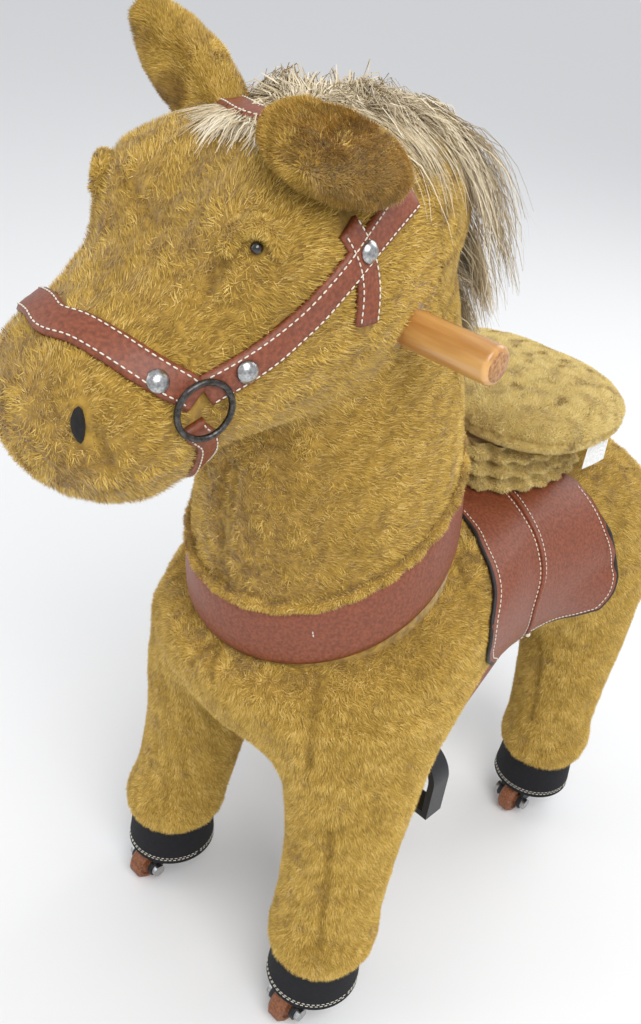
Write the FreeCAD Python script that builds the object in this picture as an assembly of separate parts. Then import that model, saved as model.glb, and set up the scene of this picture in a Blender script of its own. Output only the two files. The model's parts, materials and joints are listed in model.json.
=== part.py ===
import FreeCAD, Part
import math
import os

# A plush ride-on pony on four wheels. Pressing the seat spreads the sprung leg frames, and the
# handle through the neck steers the front legs. All sizes are in millimetres. The pony faces -Y,
# its left side is +X, the floor is Z = 0 and the origin is under the middle of the whole pony.

# Driving dimensions
AXLE_Z = 450.0
SHOULDER_Y = -75.0
HIP_Y = 255.0
SEAT_Y = 90.0
LEVER = HIP_Y - SEAT_Y
SWING_MAX = 12.0
SEAT_TRAVEL = LEVER * math.tan(math.radians(SWING_MAX))

STEER_Y = -132.0
HANDLE_Z = 724.0
STEER_TILT = 3.0
HANDLE_R = 14.0
HANDLE_CORE_R = 13.6
HANDLE_GRIP = 94.0
HANDLE_HALF = 162.0

SPINE_Z = 362.0
SPINE_R = 16.0
PIN_R = 8.0
POST_R = 11.0
COLUMN_R = 12.0
LEG_TUBE_R = 11.0
SHAFT_R = 16.0
RUN = 0.05

FRONT_HOOF = (113.0, -140.0)
REAR_HOOF = (102.0, 270.0)
HOOF_LOW = 41.0
HOOF_HIGH = 93.0
HOOF_RX = 43.0
HOOF_RY = 45.0
WHEEL_R = 20.0
WHEEL_WIDTH = 18.0
AXLE_AHEAD = 34.0
WHEEL_AXLE_R = 4.0
EAR_INNER = 11.5
EAR_THICK = 5.0
LEG_TUBE_END = HOOF_LOW + 20

NECK_TILT = -20.0
NECK_BASE = (-83.0, 467.0)
HEAD_TILT = -120.0
STRAP = 3.0
STRAP_WIDTH = 20.0
TORSO_TOP = 500.0
TORSO_SQUARE = 2.8
CAVITY_X = 62.0
LEG_TOP = 334.0
FRONT_CLEAR_R = 150.0
CHEST_R = 118.0
THIGH_R = 110.0


def vec(x, y, z):
    return FreeCAD.Vector(x, y, z)


AXIS_X = vec(1, 0, 0)
AXIS_Z = vec(0, 0, 1)


def steer_point(z):
    """The point of the steering axis at a height."""
    return vec(0, STEER_Y + (z - HANDLE_Z) * math.tan(math.radians(STEER_TILT)), z)


def rod(start, end, radius):
    return Part.makeCylinder(radius, (end - start).Length, start, end - start)


def tube(start, end, outer, inner):
    return rod(start, end, outer).cut(rod(start, end, inner))


def cross_rod(y, z, half, radius):
    """A cylinder along X, centred on the middle plane."""
    return rod(vec(-half, y, z), vec(half, y, z), radius)


def block(low, high):
    return Part.makeBox(high[0] - low[0], high[1] - low[1], high[2] - low[2], vec(*low))


def mirrored(shape):
    return shape.mirror(vec(0, 0, 0), AXIS_X)


def ellipse_wire(x, y, z, rx, rn, tilt, square=2.0):
    """A closed oval about a point. Its plane's normal leans from +Z to +Y by tilt degrees.

    A square of 2 gives an ellipse, and a higher one squarer shoulders.
    """
    lean = math.radians(tilt)
    points = []
    for step in range(16):
        turn = 2 * math.pi * step / 16
        c = math.cos(turn)
        s = math.sin(turn)
        swell = (abs(c) ** square + abs(s) ** square) ** (-1 / square)
        across = rx * c * swell
        along = rn * s * swell
        points.append(vec(x + across, y + along * math.cos(lean), z - along * math.sin(lean)))
    curve = Part.BSplineCurve()
    curve.interpolate(Points=points, PeriodicFlag=True)
    return Part.Wire([curve.toShape()])


def soft_body(stations, grow=0.0, square=2.0):
    """A stuffed form through ovals (x, y, z, rx, rn, tilt), each grown by the same amount."""
    wires = []
    for x, y, z, rx, rn, tilt in stations:
        wires.append(ellipse_wire(x, y, z, rx + grow, rn + grow, tilt, square))
    return Part.makeLoft(wires, True, False)


def slab(point, tilt, low, high):
    """A wide plate between two planes, measured along the tilted normal from a (y, z) point."""
    lean = math.radians(tilt)
    normal = vec(0, math.sin(lean), math.cos(lean))
    base = vec(0, point[0], point[1]) + normal * low
    plate = Part.makeBox(800, 800, high - low, vec(-400, -400, 0))
    plate.Placement = FreeCAD.Placement(base, FreeCAD.Rotation(AXIS_Z, normal))
    return plate


def save(name, shape):
    shape.exportStep("parts/" + name + ".step")


# Outer forms

def torso_stations():
    profile = [
        (-222, 438, 40, 40), (-212, 437, 74, 66), (-188, 435, 108, 86), (-140, 431, 138, 97),
        (-60, 425, 150, 101), (20, 416, 135, 98), (90, 412, 127, 97), (170, 412, 134, 94),
        (250, 414, 146, 91), (300, 417, 138, 80), (326, 420, 106, 62), (336, 421, 64, 38),
    ]
    return [(0, y, z, rx, rn, 90) for y, z, rx, rn in profile]


def torso_form(grow=0.0):
    return soft_body(torso_stations(), grow, TORSO_SQUARE)


def neck_stations():
    return [
        (0, NECK_BASE[0], NECK_BASE[1], 111, 114, NECK_TILT), (0, -90, 560, 100, 114, -10),
        (0, -94, 650, 86, 104, 0), (0, -103, 730, 73, 86, 0), (0, -110, 785, 61, 67, 5),
        (0, -108, 813, 44, 49, 10), (0, -106, 827, 24, 27, 10),
    ]


def head_stations():
    profile = [
        (-50, 809, 38, 32), (-70, 803, 64, 50), (-101, 796, 83, 62), (-141, 786, 92, 71),
        (-189, 769, 92, 80), (-231, 743, 84, 70), (-286, 714, 70, 60), (-320, 692, 66, 61),
        (-346, 678, 58, 54), (-364, 667, 36, 34),
    ]
    return [(0, y, z, rx, rn, HEAD_TILT) for y, z, rx, rn in profile]


def front_leg_stations():
    return [
        (93, -98, LEG_TOP + 12, 54, 82, 0), (98, -108, 290, 53, 70, 0), (104, -119, 220, 48, 56, 0),
        (109, -130, 150, 46, 51, 0), (113, -137, 110, 48, 51, 0),
        (FRONT_HOOF[0], FRONT_HOOF[1], HOOF_HIGH + 0.5, 44, 47, 0),
    ]


def rear_leg_stations():
    return [
        (97, 260, 362, 53, 74, 0), (100, 264, 300, 53, 67, 0), (101, 268, 220, 49, 57, 0),
        (102, 270, 150, 46, 51, 0), (102, 270, 110, 47, 50, 0),
        (REAR_HOOF[0], REAR_HOOF[1], HOOF_HIGH + 0.5, 43, 46, 0),
    ]


# Chassis: spine, brackets, seat guide, stirrups, torso, saddle flaps and tail

CROSS_BAR_Y = 58.0
STRIP_X = 110.0
STIRRUP = (98.0, -6.0)
STIRRUP_HIGH = 262.0
STIRRUP_LOW = 186.0


def spine_tube():
    """The main tube with the upright guide sleeve welded through it under the seat."""
    tube_body = tube(vec(0, -98, SPINE_Z), vec(0, 278, SPINE_Z), SPINE_R, SPINE_R - 2.5)
    sleeve_low = vec(0, SEAT_Y, SPINE_Z - 30)
    sleeve_high = vec(0, SEAT_Y, SPINE_Z + SPINE_R + 2)
    sleeve = tube(sleeve_low, sleeve_high, SPINE_R, POST_R + RUN)
    joined = tube_body.cut(rod(sleeve_low, sleeve_high, SPINE_R)).fuse(sleeve)
    return joined.cut(cross_rod(CROSS_BAR_Y, SPINE_Z, 30, 7.0))


def axle_bracket(axle_y, bore):
    """A welded U bracket: two rounded cheeks on a base under the spine."""
    cheeks = []
    for side in (-53.0, 48.0):
        plate = block((side, axle_y - 22, SPINE_Z - SPINE_R - 8), (side + 5, axle_y + 22, AXLE_Z))
        crown = rod(vec(side, axle_y, AXLE_Z), vec(side + 5, axle_y, AXLE_Z), 22)
        cheeks.append(plate.fuse(crown))
    base = block((-48, axle_y - 22, SPINE_Z - SPINE_R - 8), (48, axle_y + 22, SPINE_Z - SPINE_R))
    bracket = base.fuse(cheeks)
    return bracket.cut(cross_rod(axle_y, AXLE_Z, 70, bore)).removeSplitter()


def shoulder_axle():
    """The pivot bolt with a round head at one end and a lock nut at the other."""
    pin = cross_rod(SHOULDER_Y, AXLE_Z, 54, PIN_R)
    head = rod(vec(-58, SHOULDER_Y, AXLE_Z), vec(-53.2, SHOULDER_Y, AXLE_Z), 13)
    nut = rod(vec(53.2, SHOULDER_Y, AXLE_Z), vec(59, SHOULDER_Y, AXLE_Z), 13)
    return pin.fuse([head, nut]).removeSplitter()


def bracket_bolts():
    """Four hex-head screws that hold the brackets' bases up against the spine."""
    bolts = []
    for axle_y in (SHOULDER_Y, HIP_Y):
        for offset in (-12.0, 12.0):
            top = vec(0, axle_y + offset, SPINE_Z - SPINE_R - 8)
            hexagon = Part.makePolygon([
                top + vec(6.5 * math.cos(math.pi * k / 3), 6.5 * math.sin(math.pi * k / 3), 0)
                for k in range(7)])
            bolts.append(Part.Face(hexagon).extrude(vec(0, 0, -5)))
    return Part.makeCompound(bolts)


def hanging_strip(inner_x, thickness, half_width, high, low):
    """A flat strip that hangs from the cross bar and leans forward to the stirrup."""
    outline = [
        vec(inner_x, CROSS_BAR_Y - half_width, high), vec(inner_x, CROSS_BAR_Y + half_width, high),
        vec(inner_x, CROSS_BAR_Y + half_width, SPINE_Z - 14), vec(inner_x, STIRRUP[1] + half_width, low),
        vec(inner_x, STIRRUP[1] - half_width, low), vec(inner_x, CROSS_BAR_Y - half_width, SPINE_Z - 14),
    ]
    outline.append(outline[0])
    return Part.Face(Part.makePolygon(outline)).extrude(vec(thickness, 0, 0))


def stirrup_hangers():
    """The round cross bar through the spine and, at each end, the flat steel strip it carries."""
    strip = hanging_strip(STRIP_X, 4, 11, SPINE_Z + 12, STIRRUP_HIGH + 8)
    bar = cross_rod(CROSS_BAR_Y, SPINE_Z, STRIP_X, 7.0)
    return bar.fuse([strip, mirrored(strip)]).removeSplitter()


def stirrup_straps():
    """A leather strap lying over the outside of each steel strip."""
    strap = hanging_strip(STRIP_X + 4.4, STRAP, 13, SPINE_Z - 13, STIRRUP_HIGH + 30)
    return Part.makeCompound([strap, mirrored(strap)])


def stirrup():
    """The left foot loop: an arched frame about Y with a flat tread at the bottom."""
    x, y = STIRRUP
    half = 32.0
    depth = 12.0
    outer = block((x - half, y - depth, STIRRUP_LOW), (x + half, y + depth, STIRRUP_HIGH - half))
    outer = outer.fuse(rod(vec(x, y - depth, STIRRUP_HIGH - half), vec(x, y + depth, STIRRUP_HIGH - half), half))
    inner_half = half - 7
    inner = block((x - inner_half, y - 20, STIRRUP_LOW + 7), (x + inner_half, y + 20, STIRRUP_HIGH - half))
    inner = inner.fuse(rod(vec(x, y - 20, STIRRUP_HIGH - half), vec(x, y + 20, STIRRUP_HIGH - half), inner_half))
    lug = block((x - 6, y - 6, STIRRUP_HIGH - 4), (STRIP_X - 0.1, y + 6, STIRRUP_HIGH + 20))
    return outer.fuse(lug).cut(inner).removeSplitter()


def strip_room():
    """The pocket left for one hanging strip and its strap."""
    return block((STRIP_X - 1, CROSS_BAR_Y - 17, 290), (STRIP_X + 9, CROSS_BAR_Y + 17, SPINE_Z + 16))


def torso_padding():
    """The stuffed barrel and hips, hollow round the mechanism, with the leg frames' clearances."""
    body = torso_form()
    cavity = block((-CAVITY_X, 10, SPINE_Z - 36), (CAVITY_X, 296, TORSO_TOP - 14))
    post_room = rod(vec(0, SEAT_Y, SPINE_Z - 46), vec(0, SEAT_Y, SPINE_Z - 30), POST_R + 2)
    mouth = block((-CAVITY_X, 48, TORSO_TOP - 30), (CAVITY_X, 210, TORSO_TOP + 40))
    body = body.cut(block((-200, -300, TORSO_TOP), (200, 400, TORSO_TOP + 100)))
    body = body.cut([cavity, mouth, post_room])
    body = body.cut(cross_rod(SHOULDER_Y, AXLE_Z, 300, FRONT_CLEAR_R))
    body = body.cut(block((-300, -300, 200), (300, SHOULDER_Y, 700)))
    thigh_room = block((-200, HIP_Y - 70, 200), (200, 400, AXLE_Z)).cut(cross_rod(HIP_Y, AXLE_Z, 300, THIGH_R))
    body = body.cut(thigh_room)
    shaft_room = cross_rod(HIP_Y, AXLE_Z, 108, SHAFT_R + 2)
    leg_room = block((82, HIP_Y - 28, 300), (118, 294, AXLE_Z + 18))
    bar_room = cross_rod(CROSS_BAR_Y, SPINE_Z, STRIP_X, 7.5)
    rooms = [shaft_room, bar_room, leg_room, mirrored(leg_room), strip_room(), mirrored(strip_room())]
    return body.cut(rooms)


def saddle_flap(side):
    """The leather flap of one side (1 or -1): a thin shell over the torso, cut to its outline."""
    shell = torso_form(0.6 + STRAP).cut(torso_form(0.6))
    corners = [
        (-20, 560), (168, 560), (184, 474), (232, 396), (226, 358), (124, 362), (96, 368), (76, 344),
        (50, 344), (12, 394),
    ]
    outline = [vec(40 * side, y, z) for y, z in corners]
    outline.append(outline[0])
    profile = Part.Face(Part.makePolygon(outline)).extrude(vec(200 * side, 0, 0))
    flap = shell.common(profile).cut(block((-200, -200, TORSO_TOP - 6), (200, 400, 700)))
    room = strip_room() if side > 0 else mirrored(strip_room())
    return flap.cut([cross_rod(SHOULDER_Y, AXLE_Z, 300, CHEST_R + 3), room])


def tail():
    """A switch of hair that hangs from the rump."""
    switch = soft_body([
        (0, 334, 484, 13, 9, 50), (0, 349, 468, 19, 13, 30), (0, 362, 430, 25, 17, 5),
        (0, 366, 365, 28, 19, 0), (0, 363, 300, 22, 16, 0), (0, 360, 262, 9, 8, 0),
    ])
    return switch.cut(torso_form(0.4))


# Front frame: the yoke with the two levers and the head tube, and the chest

def lever_arm(inner_x, pivot_y, sign):
    """One flat lever from a pivot towards the seat post, with a slot for the seat's cross pin."""
    end = pivot_y + sign * (LEVER + 22)
    low, high = sorted((pivot_y, end))
    arm = block((inner_x, low, AXLE_Z - 12), (inner_x + 5, high, AXLE_Z + 12))
    reach = LEVER / math.cos(math.radians(SWING_MAX))
    slot_r = 5.7
    slot_low, slot_high = sorted((pivot_y + sign * LEVER, pivot_y + sign * reach))
    slot = block((inner_x - 1, slot_low, AXLE_Z - slot_r), (inner_x + 6, slot_high, AXLE_Z + slot_r))
    ends = [rod(vec(inner_x - 1, y, AXLE_Z), vec(inner_x + 6, y, AXLE_Z), slot_r) for y in (slot_low, slot_high)]
    return arm.cut(slot.fuse(ends))


def front_yoke():
    """The welded yoke: pivot tube, two rear-facing levers, gusset and steering head tube."""
    pivot = cross_rod(SHOULDER_Y, AXLE_Z, 46, 15)
    gusset = block((-9, steer_point(436).y, 424), (9, SHOULDER_Y, 448))
    head_tube = rod(steer_point(346), steer_point(488), 19)
    levers = []
    for inner_x in (-25.0, 20.0):
        levers.append(lever_arm(inner_x, SHOULDER_Y, 1))
    body = pivot.fuse([gusset, head_tube] + levers)
    body = body.cut(cross_rod(SHOULDER_Y, AXLE_Z, 60, PIN_R + RUN))
    return body.cut(rod(steer_point(330), steer_point(500), COLUMN_R + RUN)).removeSplitter()


def chest_padding():
    """The stuffed chest and shoulders: a U-shaped wall round the front bracket and the yoke."""
    body = torso_form()
    reach = cross_rod(SHOULDER_Y, AXLE_Z, 300, CHEST_R)
    reach = reach.fuse(block((-300, -300, 200), (300, SHOULDER_Y, 700)))
    chest = body.common(reach)
    chest = chest.cut(slab(NECK_BASE, NECK_TILT, -18, 400))
    chest = chest.cut(block((-CAVITY_X, STEER_Y - 42, 250), (CAVITY_X, 100, 600)))
    leg_plane = steer_point(LEG_TOP + 3)
    return chest.cut(slab((leg_plane.y, leg_plane.z), STEER_TILT, -300, 0))


# Steering body: column, fork, front legs, neck, head, tack and handle

def steering_column():
    """The steering tube with its thrust collar above the head tube."""
    column = rod(steer_point(310), steer_point(HANDLE_Z - HANDLE_R - 4), COLUMN_R)
    return column.fuse(rod(steer_point(490), steer_point(500), 18)).removeSplitter()


def fork_crown():
    """The plate under the head tube that carries both front leg tubes."""
    crown = block((-104, STEER_Y - 42, 312), (104, STEER_Y + 32, 326))
    return crown.cut(rod(steer_point(290), steer_point(350), COLUMN_R))


def front_leg_axis():
    return vec(90, -120, 312), vec(FRONT_HOOF[0], FRONT_HOOF[1], LEG_TUBE_END)


def rear_leg_axis():
    return vec(100, HIP_Y, AXLE_Z), vec(REAR_HOOF[0], REAR_HOOF[1], LEG_TUBE_END)


def leg_tubes(start, end, trim):
    """A pair of round leg tubes, trimmed where they meet what carries them."""
    left = tube(start, end, LEG_TUBE_R, LEG_TUBE_R - 2).cut(trim)
    return Part.makeCompound([left, mirrored(left)])


def front_leg_padding():
    """The stuffed sleeve of the left front leg, its top square to the steering axis."""
    top_plane = steer_point(LEG_TOP)
    leg = soft_body(front_leg_stations())
    leg = leg.cut(slab((top_plane.y, top_plane.z), STEER_TILT, 0, 300))
    start, end = front_leg_axis()
    along = (start - end).normalize()
    leg = leg.cut(rod(end, start + along * 60, LEG_TUBE_R + 0.3))
    return leg.cut(block((0, STEER_Y - 44, 311.7), (106, STEER_Y + 34, 400)))


def rear_leg_padding():
    """The stuffed sleeve of the left rear leg, its top hollowed about the hip shaft."""
    leg = soft_body(rear_leg_stations())
    leg = leg.cut(cross_rod(HIP_Y, AXLE_Z, 300, THIGH_R + 6))
    start, end = rear_leg_axis()
    return leg.cut(rod(end, start, LEG_TUBE_R + 0.3))


def hoof(place, leg_start, leg_end):
    """The left moulded hoof: a solid flared shoe with a recess and two ears for its wheel."""
    x, y = place
    axle_y = y - AXLE_AHEAD
    shoe = soft_body([(x, y, HOOF_LOW, HOOF_RX, HOOF_RY, 0), (x, y, HOOF_HIGH, HOOF_RX - 4, HOOF_RY - 4, 0)])
    ears = []
    for ear_x in (x - EAR_INNER - EAR_THICK, x + EAR_INNER):
        ear = block((ear_x, axle_y - 3, WHEEL_R), (ear_x + EAR_THICK, axle_y + 16, HOOF_LOW + 3))
        ears.append(ear.fuse(rod(vec(ear_x, axle_y, WHEEL_R), vec(ear_x + EAR_THICK, axle_y, WHEEL_R), 9)))
    shoe = shoe.cut(cross_rod(axle_y, WHEEL_R, 200, WHEEL_R + 2)).fuse(ears)
    shoe = shoe.cut(rod(vec(x - 60, axle_y, WHEEL_R), vec(x + 60, axle_y, WHEEL_R), WHEEL_AXLE_R))
    return shoe.cut(rod(leg_end, leg_start, LEG_TUBE_R)).removeSplitter()


def cuff(place):
    """The black flared sleeve round the left hoof."""
    x, y = place
    low = HOOF_LOW + 2
    outer = soft_body([(x, y, low, HOOF_RX + 3, HOOF_RY + 3, 0), (x, y, HOOF_HIGH, HOOF_RX - 1, HOOF_RY - 1, 0)])
    inner = soft_body([
        (x, y, HOOF_LOW, HOOF_RX + 0.3, HOOF_RY + 0.3, 0),
        (x, y, HOOF_HIGH, HOOF_RX - 3.7, HOOF_RY - 3.7, 0),
    ])
    return outer.cut(inner)


def wheel(place):
    """A wheel with rounded shoulders and a raised hub, turned about its axle."""
    x, y = place
    half = WHEEL_WIDTH / 2
    profile = [
        (WHEEL_AXLE_R + RUN, -half - 2), (8, -half - 2), (8, -half + 1), (13, -half + 2), (14, -half),
        (16.5, -half), (WHEEL_R, -half + 3.5), (WHEEL_R, half - 3.5), (16.5, half), (14, half), (13, half - 2),
        (8, half - 1), (8, half + 2), (WHEEL_AXLE_R + RUN, half + 2),
    ]
    outline = [vec(offset, 0, radius) for radius, offset in profile]
    outline.append(outline[0])
    disc = Part.Face(Part.makePolygon(outline)).revolve(vec(0, 0, 0), AXIS_X, 360)
    disc.translate(vec(x, y - AXLE_AHEAD, WHEEL_R))
    return disc


def wheel_axles(place):
    """The two axle bolts of a leg frame with their dome nuts."""
    x, y = place
    axle_y = y - AXLE_AHEAD
    outer = EAR_INNER + EAR_THICK + 0.2
    bolt = rod(vec(x - outer - 2, axle_y, WHEEL_R), vec(x + outer + 2, axle_y, WHEEL_R), WHEEL_AXLE_R)
    heads = [rod(vec(x + side, axle_y, WHEEL_R), vec(x + side + 5, axle_y, WHEEL_R), 7) for side in (outer, -outer - 5)]
    left = bolt.fuse(heads).removeSplitter()
    return Part.makeCompound([left, mirrored(left)])


def neck_form(grow=0.0):
    return soft_body(neck_stations(), grow)


def head_form(grow=0.0):
    return soft_body(head_stations(), grow)


def handle():
    """The turned wooden bar through the neck: a slightly thinner core between two grips with rounded ends."""
    core = cross_rod(STEER_Y, HANDLE_Z, HANDLE_GRIP, HANDLE_CORE_R)
    grip = rod(vec(HANDLE_GRIP, STEER_Y, HANDLE_Z), vec(HANDLE_HALF, STEER_Y, HANDLE_Z), HANDLE_R)
    bar = core.fuse([grip, mirrored(grip)])
    ends = [edge for edge in bar.Edges if abs(abs(edge.CenterOfMass.x) - HANDLE_HALF) < 0.1]
    return bar.makeFillet(4.0, ends)


def handle_clamp():
    """The block on top of the column that grips the handle."""
    body = block((-24, STEER_Y - 22, HANDLE_Z - 46), (24, STEER_Y + 22, HANDLE_Z + 22))
    body = body.cut(cross_rod(STEER_Y, HANDLE_Z, 60, HANDLE_CORE_R))
    return body.cut(rod(steer_point(HANDLE_Z - 80), steer_point(HANDLE_Z - HANDLE_R - 4), COLUMN_R))


def neck_padding():
    """The stuffed neck, hollow for the pivot, the column, the clamp and the handle."""
    neck = neck_form()
    rooms = [
        cross_rod(SHOULDER_Y, AXLE_Z, CAVITY_X + 20, 55),
        rod(steer_point(420), steer_point(506), 25),
        rod(steer_point(420), steer_point(HANDLE_Z), COLUMN_R + 0.5),
        cross_rod(STEER_Y, HANDLE_Z, 200, HANDLE_R + 0.4),
        block((-24.5, STEER_Y - 22.5, HANDLE_Z - 46.5), (24.5, STEER_Y + 22.5, HANDLE_Z + 22.5)),
    ]
    return neck.cut(rooms)


def head_padding():
    """The stuffed head and muzzle, seamed to the front of the neck."""
    handle_room = cross_rod(STEER_Y, HANDLE_Z, 200, HANDLE_R + 0.4)
    return head_form().cut([neck_form(0.4), handle_room])


def ear(base, tip, width, depth):
    """A rounded, tapering ear between two points, square to its own length."""
    way = tip - base
    turn = FreeCAD.Rotation(AXIS_Z, way)
    wires = []
    for part, size in ((0.0, 0.9), (0.3, 1.0), (0.65, 0.92), (0.9, 0.62), (1.0, 0.25)):
        ring = ellipse_wire(0, 0, 0, width * size, depth * size, 0)
        ring.Placement = FreeCAD.Placement(base + way * part, turn)
        wires.append(ring)
    return Part.makeLoft(wires, True, False)


def right_ear():
    return ear(vec(-40, -192, 832), vec(-107, -206, 893), 27, 22).cut(head_form(0.4))


def left_ear():
    return ear(vec(56, -164, 836), vec(96, -262, 840), 20, 44).cut([head_form(0.4), neck_form(0.4)])


def eyes():
    """Two domed eyes, cut flat where they meet the face."""
    left = Part.makeSphere(10, vec(74, -258, 780)).cut(head_form(0.2))
    return Part.makeCompound([left, mirrored(left)])


def nostrils():
    """Two small stitched nose patches."""
    skin = head_form(2.0).cut(head_form(0.3))
    left = skin.common(rod(vec(26, -400, 672), vec(26, -340, 686), 8))
    return Part.makeCompound([left, mirrored(left)])


def mane():
    """The thick hair down the back of the neck and over the poll."""
    fringe = neck_form(30).common(block((-30, -60, 628), (30, 120, 900)))
    return fringe.cut([neck_form(0.4), head_form(0.4)])


def breast_collar():
    """The wide leather band round the base of the neck."""
    band = neck_form(0.4 + STRAP).common(slab(NECK_BASE, NECK_TILT, 5, 46))
    return band.cut(neck_form(0.4))


def strap_round_head(point, tilt, half_width):
    """A leather band on the head between two parallel planes."""
    band = head_form(0.4 + STRAP).common(slab(point, tilt, -half_width, half_width))
    return band.cut([head_form(0.4), neck_form(0.4)])


def noseband():
    return strap_round_head((-300, 704), HEAD_TILT, STRAP_WIDTH / 2)


def crown_strap():
    """The band over the poll and under the throat, parted where the ears stand on it."""
    band = strap_round_head((-176, 786), HEAD_TILT + 16, STRAP_WIDTH / 2)
    return band.cut([left_ear(), right_ear()])


def cheek_straps():
    """The strap on each cheek, from the noseband's ring up to the crown strap."""
    band = strap_round_head((-230, 742), -37, STRAP_WIDTH / 2)
    band = band.common(block((-200, -284, 600), (200, -166, 900)))
    band = band.cut(block((-40, -400, 500), (40, 0, 900)))
    return band.cut([noseband(), crown_strap()])


def bridle_rings():
    """A steel ring on each side, where noseband and cheek strap meet."""
    left = Part.makeTorus(18, 2.2, vec(80, -280, 693), vec(1, -0.25, 0))
    left = left.cut([head_form(0.4 + STRAP), noseband(), cheek_straps()])
    return Part.makeCompound([left, mirrored(left)])


def bridle_studs():
    """Domed rivets: two on the noseband, two on the cheek straps and two on the crown strap."""
    places = [vec(60, -316, 722), vec(80, -256, 726), vec(90, -176, 786)]
    domes = []
    for place in places:
        dome = Part.makeSphere(8, place).cut(head_form(0.5 + STRAP))
        domes.append(dome)
        domes.append(mirrored(dome))
    return Part.makeCompound(domes)


def handle_cuffs():
    """The puckered plush collars where the handle leaves the neck."""
    collar = tube(vec(60, STEER_Y, HANDLE_Z), vec(80, STEER_Y, HANDLE_Z), 24, HANDLE_R + 0.3)
    left = collar.cut([neck_form(0.4), head_form(0.4), crown_strap()])
    return Part.makeCompound([left, mirrored(left)])


# Rear frame: the yoke that carries the rear legs

def rear_yoke():
    """The welded hip shaft with two forward-facing levers on their collars."""
    pieces = []
    for inner_x in (-33.0, 28.0):
        collar = rod(vec(inner_x, HIP_Y, AXLE_Z), vec(inner_x + 5, HIP_Y, AXLE_Z), SHAFT_R + 7)
        pieces.append(collar.fuse(lever_arm(inner_x, HIP_Y, -1)))
    shaft = cross_rod(HIP_Y, AXLE_Z, 106, SHAFT_R)
    return shaft.fuse(pieces).cut(cross_rod(HIP_Y, AXLE_Z, 110, SHAFT_R - 3)).removeSplitter()


# Seat body: post with its cross pin, board, cushion, skirt, tag and return spring

CUSHION_Y = 160.0
CROSSHEAD_LOW = AXLE_Z - 12
SPRING_LOW = SPINE_Z + SPINE_R + 2
BOARD_LOW = TORSO_TOP + SEAT_TRAVEL + 2.5
SKIRT_LOW = TORSO_TOP + 2
BOARD_Y = 152.0
SKIRT_Y = 154.0


def seat_post():
    """The sliding post with its spring seat and the pin that presses both pairs of levers."""
    post = rod(vec(0, SEAT_Y, SPINE_Z - 6), vec(0, SEAT_Y, BOARD_LOW), POST_R)
    seat_ring = rod(vec(0, SEAT_Y, CROSSHEAD_LOW), vec(0, SEAT_Y, AXLE_Z + 12), 18)
    pin = cross_rod(SEAT_Y, AXLE_Z, 38, 5.0)
    return post.fuse([seat_ring, pin]).removeSplitter()


def seat_board():
    return soft_body([(0, BOARD_Y, BOARD_LOW, 62, 84, 0), (0, BOARD_Y, BOARD_LOW + 11, 62, 84, 0)])


def seat_cushion():
    """The long padded seat on its board."""
    low = BOARD_LOW + 11.3
    return soft_body([
        (0, CUSHION_Y, low, 98, 80, 0), (0, CUSHION_Y, low + 8, 112, 94, 0),
        (0, CUSHION_Y, low + 22, 116, 97, 0), (0, CUSHION_Y, low + 40, 98, 82, 0),
        (0, CUSHION_Y, low + 49, 62, 54, 0),
    ])


def seat_skirt():
    """The gathered plush tube that closes the gap under the seat."""
    high = BOARD_LOW + 11
    outer = soft_body([(0, SKIRT_Y, SKIRT_LOW, 82, 92, 0), (0, SKIRT_Y, high, 82, 92, 0)])
    inner = soft_body([(0, SKIRT_Y, SKIRT_LOW - 1, 78, 88, 0), (0, SKIRT_Y, high + 1, 78, 88, 0)])
    return outer.cut(inner)


def seat_tag():
    """The blank cloth tag sewn in the seam at the left of the seat."""
    tab = block((106, 150, BOARD_LOW - 8), (106.8, 188, BOARD_LOW + 22))
    return tab.cut(seat_cushion())


def return_spring():
    """The compression spring round the post, between the guide sleeve and the cross head."""
    wire_r = 1.8
    coil_r = 15.0
    height = CROSSHEAD_LOW - SPRING_LOW - 2 * wire_r - 1
    helix = Part.makeHelix(height / 5, height, coil_r)
    section = Part.Wire([Part.makeCircle(wire_r, vec(coil_r, 0, 0), vec(0, 1, 0))])
    coil = Part.Wire(helix.Edges).makePipeShell([section], True, True)
    coil.translate(vec(0, SEAT_Y, SPRING_LOW + wire_r + 0.5))
    return coil


def save_pairs(name, left):
    save(name + "_left", left)
    save(name + "_right", mirrored(left))


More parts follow.
